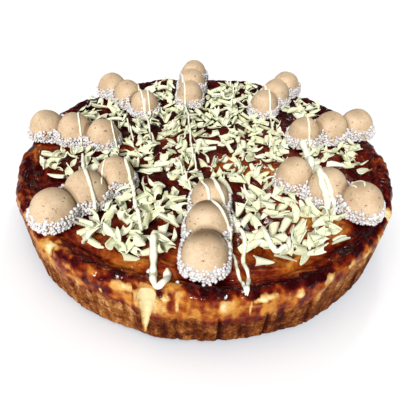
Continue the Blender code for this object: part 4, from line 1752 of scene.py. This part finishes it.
@dataclass
class WaferShells:
    """The eight filled wafers: smooth domes in a row.

    Attributes:
        sides: Faces round a wafer.
        rings: Faces along it.
        under_share: Share of the faces that lie on its underside.
        crown_shade_and_bake: How dark the crowns of each wafer are: painted shade, strongest on the front wafer,
            partly their own browning.
    """

    sides: int = 64
    rings: int = 110
    under_share: float = 0.18
    crown_shade_and_bake: tuple[float, ...] = (1.00, 0.50, 0.50, 0.42, 0.42, 0.42, 0.50, 0.42)

    def _plain(self, name: str) -> Object:
        """Adds the ball that a wafer is shaped from, its poles at the wafer's ends.

        Args:
            name: Its name.

        Returns:
            The ball.
        """
        deselect()
        bpy.ops.mesh.primitive_uv_sphere_add(segments=self.sides, ring_count=self.rings, radius=1.0)
        obj = bpy.context.object
        obj.name = obj.data.name = name
        return obj

    def _shaped(self, points: Array, seed: float) -> tuple[Array, Array]:
        """Turns the ball's vertices into a wafer of full size.

        Args:
            points: The ball's vertices.
            seed: Where in the noise this wafer's unevenness is read.

        Returns:
            The wafer's vertices, and the height of each over the underside.
        """
        polar = np.arccos(np.clip(points[:, 2], -1.0, 1.0)) / math.pi
        turned = np.arctan2(points[:, 1], points[:, 0]) / (2 * math.pi) % 1.0
        inner, outer = SHELL.ends
        x = 0.5 * (inner + outer) + 0.5 * (outer - inner) * np.cos(math.pi * polar)
        half_width, height = SHELL.section(x, blended=True)
        shell = 1 - self.under_share
        around = math.pi * np.clip(turned / shell, 0.0, 1.0)
        across, up = SHELL.over(half_width, height, around)
        below = turned > shell
        across = np.where(below, half_width * (2 * (turned - shell) / self.under_share - 1), across)
        up = np.where(below, 0.0, up)
        uneven = patchy(np.column_stack((x, across, up)) + seed, 0.011, 2)
        swollen = 1 + 0.018 * uneven * (up > 0)
        placed = np.column_stack((x, across * swollen, np.maximum(SHELL.foot, up * swollen)))
        return placed, up

    @staticmethod
    def _bake_and_shade_mask(points: Array, up: Array, crown_shade_and_bake: float) -> Array:
        """Works out the brown painted shade over the crowns' inner sides and in the creases, partly the shell's own
        browning, vertex by vertex.

        Args:
            points: The vertices.
            up: Their heights over the underside.
            crown_shade_and_bake: How dark the crowns are, as painted shade and browning.

        Returns:
            The share of brown, painted shade and browning, at each vertex.
        """
        x = points[:, 0]
        brown = np.zeros_like(x)
        for middle, half_length, _, height in SHELL.domes:
            behind = ((x - (middle - 0.30 * half_length)) / (0.60 * half_length)) ** 2
            crown = rise(up / height, 0.62, 0.38)
            brown = np.maximum(brown, crown_shade_and_bake * crown * np.exp(-behind))
        crease = np.minimum(np.abs(x - 0.5 * SHELL.spacing), np.abs(x + 0.5 * SHELL.spacing))
        return np.maximum(brown, 0.9 * bell(crease, 0.0, 0.0017))

    def build(self, seat: Seat, number: int) -> Object:
        """Models one wafer where it lies and dresses it.

        Args:
            seat: Its place.
            number: Its number, which sets its unevenness.

        Returns:
            The piece.
        """
        obj = self._plain(seat.name + "_shell")
        points, up = self._shaped(read_points(obj.data), 0.37 * number)
        # Painted shade over the crowns' inner sides and in the creases, strongest on the front wafer, partly the
        # shell's own browning.
        bake_and_shade = self._bake_and_shade_mask(points, up, self.crown_shade_and_bake[number])
        write_points(obj.data, seat.placed(points * seat.size))
        add_mask(obj.data, "bake_and_shade", bake_and_shade)
        face_outwards(obj)
        obj.data.shade_smooth()
        obj.data.materials.append(bpy.data.materials.get("wafer_shell") or WaferFinish().make())
        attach(obj, "root")
        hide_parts(seat.name)
        return obj


@dataclass
class Nibs:
    """The sugar nibs that cover each wafer's foot, and a few that have fallen on the cake.

    Attributes:
        cake: The cake that the fallen ones lie on.
        mould: One nib, a cut lump that each copy squeezes and chips in its own way.
        draw: The random numbers.
        spacing: Distance between neighbours.
        radius: Smallest and largest half-size.
        squeeze: Limits of the factor by which a nib is squeezed along each axis.
        chips: Limits of the factor by which each of its corners is moved in or out.
        band: Height of the band beside a dome.
        crease_band: Height of the band in a crease.
        proud: How far the nibs' middles stand out from the shell.
        strays: Places of the fallen nibs.
        seed: Start of the random numbers.
    """

    cake: Cake
    mould: Mould = field(init=False)
    draw: np.random.Generator = field(init=False)
    spacing: float = 0.00195
    radius: Point = (0.00085, 0.00140)
    squeeze: Point = (0.75, 1.2)
    chips: Point = (0.80, 1.12)
    band: float = 0.0090
    crease_band: float = 0.0125
    proud: float = 0.0010
    strays: tuple[Point, ...] = (
        (-0.0125, -0.1285), (0.0020, -0.1292), (0.0055, -0.1283), (-0.047, -0.103), (0.025, -0.131), (0.068, -0.098),
        (-0.072, -0.098), (-0.030, -0.118), (0.0225, -0.121),
    )
    seed: int = 5

    def __post_init__(self) -> None:
        """Models one nib and starts the random numbers."""
        self.draw = np.random.default_rng(self.seed)
        deselect()
        bpy.ops.mesh.primitive_uv_sphere_add(segments=6, ring_count=4, radius=1.12)
        bpy.ops.object.mode_set(mode="EDIT")
        bpy.ops.mesh.select_all(action="SELECT")
        bpy.ops.transform.resize(value=(1.0, 1.0, 0.92))
        bpy.ops.mesh.quads_convert_to_tris()
        bpy.ops.object.mode_set(mode="OBJECT")
        self.mould = Mould.of(bpy.context.object)

    def _nugget(self, middle: Array) -> Array:
        """Makes one nib.

        Args:
            middle: The point that it lies round.

        Returns:
            Its vertices.
        """
        ball = self.mould.points
        size = self.draw.uniform(*self.radius) * self.draw.uniform(*self.squeeze, 3)
        chipped = ball * size * self.draw.uniform(*self.chips, (len(ball), 1))
        angle = self.draw.uniform(0, math.tau)
        spin = np.array(Matrix.Rotation(angle, 3, Vector(self.draw.normal(size=3)).normalized()))
        return chipped @ spin.T + middle

    def _round_foot(self, seat: Seat) -> list[Array]:
        """Makes the nibs of one wafer: rows round its foot, ragged at the top.

        Args:
            seat: The wafer's place.

        Returns:
            The vertices of each nib.
        """
        draw = self.draw
        made = []
        rise = 0.82 * self.spacing
        for row in range(int(self.crease_band / rise) + 2):
            level = 0.0010 + row * rise
            outline = self._outline(level)
            along = distances(outline)
            count = int(along[-1] / self.spacing)
            wanted = (np.arange(count) + 0.5 * (row % 2) + draw.uniform(-0.4, 0.4, count)) * along[-1] / count
            for i, distance in enumerate(wanted % along[-1]):
                x, y = (float(np.interp(distance, along, outline[:, axis])) for axis in range(2))
                height = level + draw.uniform(-0.0006, 0.0006)
                crease = min(abs(x - 0.5 * WAFER.spacing), abs(x + 0.5 * WAFER.spacing))
                limit = self.band + (self.crease_band - self.band) * math.exp(-((crease / 0.005) ** 2))
                limit += 0.0030 * noise.noise(Vector((x, y, seat.size)) / 0.006)
                if height > limit + draw.uniform(-0.0016, 0.0010):
                    continue
                made.append(self._nugget(np.array((x, y, height))))
        return [seat.placed(points * seat.size) for points in made]

    def _outline(self, level: float, steps: int = 240) -> Array:
        """Gives the closed line that the nibs follow at a height, just outside the shell.

        Args:
            level: Height over the wafer's underside.
            steps: Points on each side.

        Returns:
            Points in the wafer's plan, the first of them again at the end.
        """
        inner, outer = WAFER.ends
        extra = self.proud
        low = inner - extra
        high = outer + extra
        x = 0.5 * (low + high) + 0.5 * (high - low) * np.cos(np.linspace(0.0, math.pi, steps))
        height = np.maximum(WAFER.section(x, extra)[1], 0.006)
        share = np.minimum(0.97, level / height)
        half_width = WAFER.band(x, extra) * (1 - share**WAFER.power) ** (1 / WAFER.power)
        pull = 1 - 0.5 * (level / WAFER.domes[0][3]) ** WAFER.power
        x = 0.5 * (low + high) + (x - 0.5 * (low + high)) * pull
        there = np.column_stack((x, half_width))
        back = np.column_stack((x[::-1], -half_width[::-1]))
        return np.vstack((there, back, there[:1]))

    def build(self) -> Object:
        """Makes every nib, as one piece."""
        copies = [nib for seat in SEATS for nib in self._round_foot(seat)]
        for x, y in self.strays:
            copies.append(self._nugget(np.array((x, y, float(self.cake.height(x, y)[0]) + 0.0004))))
        obj = self.mould.cast("sugar_nibs", copies)
        add_copy_shade(obj, len(self.mould.points), self.seed)
        obj.data.materials.append(NibFinish().make())
        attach(obj, "root")
        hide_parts(*(seat.name for seat in SEATS))
        log.info("nibs: %d", len(copies))
        return obj


@dataclass(frozen=True)
class Strand:
    """A run of drizzle over whatever lies on the cake.

    Attributes:
        width: Its width in millimetres.
        route: Points of the plan that it runs through, in millimetres.
    """

    width: float
    route: tuple[Point, ...]


@dataclass
class Drizzle:
    """White chocolate drizzle, in strands that swell and thin out and hang over what they cross.

    Attributes:
        heap: The map of what lies on the cake.
        strands: The strands.
        steepest: Steepest slope at which a strand leaves what carries it.
        fine_step: Distance between the places where a strand is laid.
        seed: Start of the random numbers.
    """

    heap: HeightMap
    strands: tuple[Strand, ...] = (
        Strand(4.4, ((-28.5, -101), (-27.5, -113), (-26.2, -127), (-22.8, -132.5), (-19, -128), (-19.2, -117))),
        Strand(2.6, ((22.5, -88), (26, -98), (25, -108), (27.5, -120), (26.2, -129), (25.8, -135.5))),
        Strand(3.2, ((36.5, -88), (38, -98), (43, -107), (49.5, -106), (52, -97))),
        Strand(1.9, ((-3, -48), (-1, -60), (2.7, -67.6), (5.5, -80.2), (10.1, -85.5), (13.2, -89.3), (16.1, -92),
                     (18, -99), (17.4, -106))),
        Strand(2.5, ((4, -49), (6.3, -57.5), (9, -64.3), (11.7, -67.5), (14.2, -70.5), (17.8, -74.5), (20.8, -81),
                     (22.2, -89))),
        Strand(4.6, ((17.8, -73), (20.8, -80), (22.2, -88))),
        Strand(2, ((17.3, -101), (20.1, -106.1), (21.3, -116.5), (23.5, -123.7), (24.5, -130), (25, -135.2))),
        Strand(2.3, ((-91, -15), (-87, -30), (-80, -50), (-74.5, -61.8), (-71.4, -67.5), (-69.9, -71),
                     (-69, -79))),
        Strand(2.5, ((-56, -22), (-54.5, -37.3), (-51.7, -42.9), (-50, -48), (-46.7, -57.9), (-43.5, -71.8),
                     (-39.7, -83), (-35.6, -98.1))),
        Strand(1.3, ((-68.6, -33), (-68.4, -41.4), (-68.9, -47.9), (-68, -54), (-66.7, -60.4))),
        Strand(1.2, ((-54, 60), (-51.2, 42.9), (-44.3, 21.2), (-40, 5))),
        Strand(1.4, ((-20, 70), (-15.5, 45.6), (-10.5, 0.9), (-7, -21.7), (-4.6, -34.1))),
        Strand(1.3, ((-23, -15), (-17.4, -26.6), (-11.5, -42.6), (-8.7, -51.9))),
        Strand(5, ((74, 8), (76.6, 0.3), (79, -16), (78, -34), (77.7, -50.3), (81.2, -57), (83, -64))),
        Strand(3, ((77.7, -44), (82.9, -54.7), (86.2, -60), (88.2, -68))),
        Strand(1.4, ((99, -58.5), (97.5, -51), (101, -48), (104.5, -52), (103.8, -58.7))),
        Strand(1.8, ((-103, 38), (-101.1, 21.8), (-98, 10.7), (-96.3, 2))),
        Strand(1.6, ((-83.5, 47.3), (-78, 30), (-73.4, 12.4), (-69.7, 4), (-64.4, -9.2))),
        Strand(1.2, ((-67.2, 41.7), (-60, 20), (-55.5, 2.7))),
        Strand(1.6, ((-66, 98), (-61.6, 79.7), (-54.2, 55.3), (-45.6, 23.9))),
        Strand(1.6, ((-55, 86), (-51.4, 65), (-47.9, 50))),
        Strand(1.8, ((-29, 130), (-23.4, 102.3), (-20.1, 77.6), (-18.6, 62))),
        Strand(1.8, ((49, 118), (53.1, 89.8), (55.2, 65.7), (59, 52))),
        Strand(1.8, ((78, 52), (80, 35), (81.5, 19.7), (85, 5))),
        Strand(1.5, ((20.5, 124), (24, 95), (21, 65))),
    )
    steepest: float = 2.6
    fine_step: float = 0.0005
    seed: int = 3

    def _draped(self, strand: Strand) -> Array:
        """Lays a strand over what is under it.

        Args:
            strand: The strand.

        Returns:
            The points of its middle line.
        """
        plan = rounded_path(np.array(strand.route) / 1000, self.fine_step)
        under = self.heap.over(plan)
        along = np.arange(len(plan)) * self.fine_step
        away = np.abs(along[:, None] - along[None, :])
        hung = (under[None, :] - self.steepest * away).max(axis=1)
        weights = np.hanning(7)[1:-1]
        soft = np.convolve(np.pad(hung, 2, mode="edge"), weights / weights.sum(), mode="valid")
        height = np.maximum(soft, under) + 0.2 * strand.width / 1000
        return rounded_path(np.column_stack((plan, height))[::2], 2 * self.fine_step)

    def _strand(self, path: Array, width: float, draw: random.Random) -> Object:
        """Makes one strand: a round thread that swells and thins out.

        Args:
            path: The points of its middle line.
            width: Its mean width.
            draw: Random numbers.

        Returns:
            The strand, still a curve.
        """
        curve = bpy.data.curves.new("strand", "CURVE")
        curve.dimensions = "3D"
        curve.bevel_depth = 1.0
        curve.bevel_resolution = 1
        curve.use_fill_caps = True
        spline = curve.splines.new("POLY")
        spline.points.add(len(path) - 1)
        shift = draw.uniform(0, 50)
        for i, (target, point) in enumerate(zip(spline.points, path)):
            along = i / (len(path) - 1)
            swell = 1 + 0.40 * noise.noise(Vector((shift + 0.16 * i, 0.0, 0.0)))
            end = min(1.0, 0.35 + 0.25 * min(i, len(path) - 1 - i))
            target.co = (*point, 1.0)
            target.radius = 0.5 * width * swell * end * (1.05 - 0.1 * along)
        obj = bpy.data.objects.new("strand", curve)
        bpy.context.scene.collection.objects.link(obj)
        return obj

    def build(self) -> Object:
        """Makes all the drizzle, as one piece."""
        draw = random.Random(self.seed)
        made = [self._strand(self._draped(strand), strand.width / 1000, draw) for strand in self.strands]
        deselect()
        for obj in made:
            obj.select_set(True)
        bpy.context.view_layer.objects.active = made[0]
        bpy.ops.object.convert(target="MESH")
        bpy.ops.object.join()
        obj = bpy.context.object
        obj.name = obj.data.name = "chocolate_drizzle"
        face_outwards(obj, merge=True)
        add_mask(obj.data, "shade", np.full(len(obj.data.vertices), 0.4))
        obj.data.shade_smooth()
        obj.data.materials.append(DRIZZLE_CHOCOLATE.make())
        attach(obj, "root")
        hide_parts("cheesecake", *(seat.name for seat in SEATS))
        return obj


# The studio


@dataclass(frozen=True)
class SoftLight:
    """A large soft light, so far off that it falls evenly on the cake and the floor.

    Attributes:
        name: Its name.
        azimuth: Where it stands, in degrees.
        elevation: How high it stands, in degrees.
        spread: How large it looks from the cake, in degrees.
        strength: Its strength.
    """

    name: str
    azimuth: float
    elevation: float
    spread: float
    strength: float

    def build(self) -> None:
        """Adds the light, aimed at the cake."""
        level = math.cos(math.radians(self.elevation))
        away = Vector((
            level * math.cos(math.radians(self.azimuth)),
            level * math.sin(math.radians(self.azimuth)),
            math.sin(math.radians(self.elevation)),
        ))
        bpy.ops.object.light_add(type="SUN", location=away)
        lamp = bpy.context.object
        lamp.name = self.name
        lamp.rotation_euler = away.to_track_quat("Z", "Y").to_euler()
        lamp.data.angle = math.radians(self.spread)
        lamp.data.energy = self.strength


@dataclass
class Studio:
    """The floor, the lights and the camera.

    Attributes:
        elevation: How far the camera looks down, in degrees.
        distance: From the middle of the cake's base to the camera.
        lens: Focal length on a 36 mm sensor.
        aim: How far the middle of the picture lies right of and above the cake's base, in metres.
        roll: How far the camera leans, in degrees.
        raised: Height of the point that the camera is placed from.
        ambient: Strength of the light from all round.
    """

    elevation: float = 39.19
    distance: float = 0.3668
    lens: float = 39.5
    aim: Point = (-0.00276, -0.0055)
    roll: float = 2.22
    raised: float = 0.0040
    ambient: float = 0.10
    lights: tuple[SoftLight, ...] = (
        SoftLight("key_light", -105.0, 38.0, 15.0, 4.1),
        SoftLight("top_light", -60.0, 70.0, 26.0, 0.55),
        SoftLight("left_light", 170.0, 45.0, 50.0, 0.35),
        SoftLight("back_light", 78.0, 42.0, 8.0, 0.42),
    )

    def _floor(self) -> None:
        """Adds the plain pale floor."""
        deselect()
        bpy.ops.mesh.primitive_plane_add(size=6.0)
        floor = bpy.context.object
        floor.name = floor.data.name = "studio_floor"
        floor.data.materials.append(FloorFinish().make())

    def _world(self) -> None:
        """Lights the scene softly from all round."""
        world = bpy.data.worlds.new("studio")
        world.use_nodes = True
        background = world.node_tree.nodes["Background"]
        background.inputs["Color"].default_value = (1.0, 1.0, 1.0, 1.0)
        background.inputs["Strength"].default_value = self.ambient
        bpy.context.scene.world = world

    def _camera(self) -> None:
        """Adds the camera at the photograph's angle."""
        tilt = math.radians(self.elevation)
        right = Vector((1.0, 0.0, 0.0))
        up = Vector((0.0, math.sin(tilt), math.cos(tilt)))
        middle = Vector((0.0, 0.0, self.raised))
        place = middle + Vector((0.0, -math.cos(tilt), math.sin(tilt))) * self.distance
        target = middle + right * self.aim[0] + up * self.aim[1]
        look = (target - place).normalized()
        sideways = look.cross(up).normalized()
        upwards = sideways.cross(look)
        turn = Matrix((sideways, upwards, -look)).transposed().to_4x4()
        bpy.ops.object.camera_add()
        camera = bpy.context.object
        camera.name = "photo_camera"
        camera.matrix_world = Matrix.Translation(place) @ turn @ Matrix.Rotation(math.radians(self.roll), 4, "Z")
        camera.data.lens = self.lens
        camera.data.sensor_width = 36.0
        camera.data.clip_start = 0.01
        bpy.context.scene.camera = camera

    def build(self) -> None:
        """Adds everything."""
        self._floor()
        self._world()
        self._camera()
        for light in self.lights:
            light.build()
        view = bpy.context.scene.view_settings
        view.view_transform = "Standard"
        view.look = "None"


def main() -> None:
    """Builds the cheesecake, piece by piece, and the studio round it."""
    logging.basicConfig(level=logging.INFO, format="%(name)s: %(message)s")
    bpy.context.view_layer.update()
    cake = Cake()
    body = cake.build()
    log.info("%s: %d faces", body.name, len(body.data.polygons))
    heap = HeightMap(cake)
    for number, seat in enumerate(SEATS):
        shell = WaferShells().build(seat, number)
        log.info("%s: %d faces", shell.name, len(shell.data.polygons))
    for piece in (Nibs(cake).build(), Curls(cake, heap).build(), Drizzle(heap).build()):
        log.info("%s: %d faces", piece.name, len(piece.data.polygons))
    Studio().build()


if __name__ == "__main__":
    main()
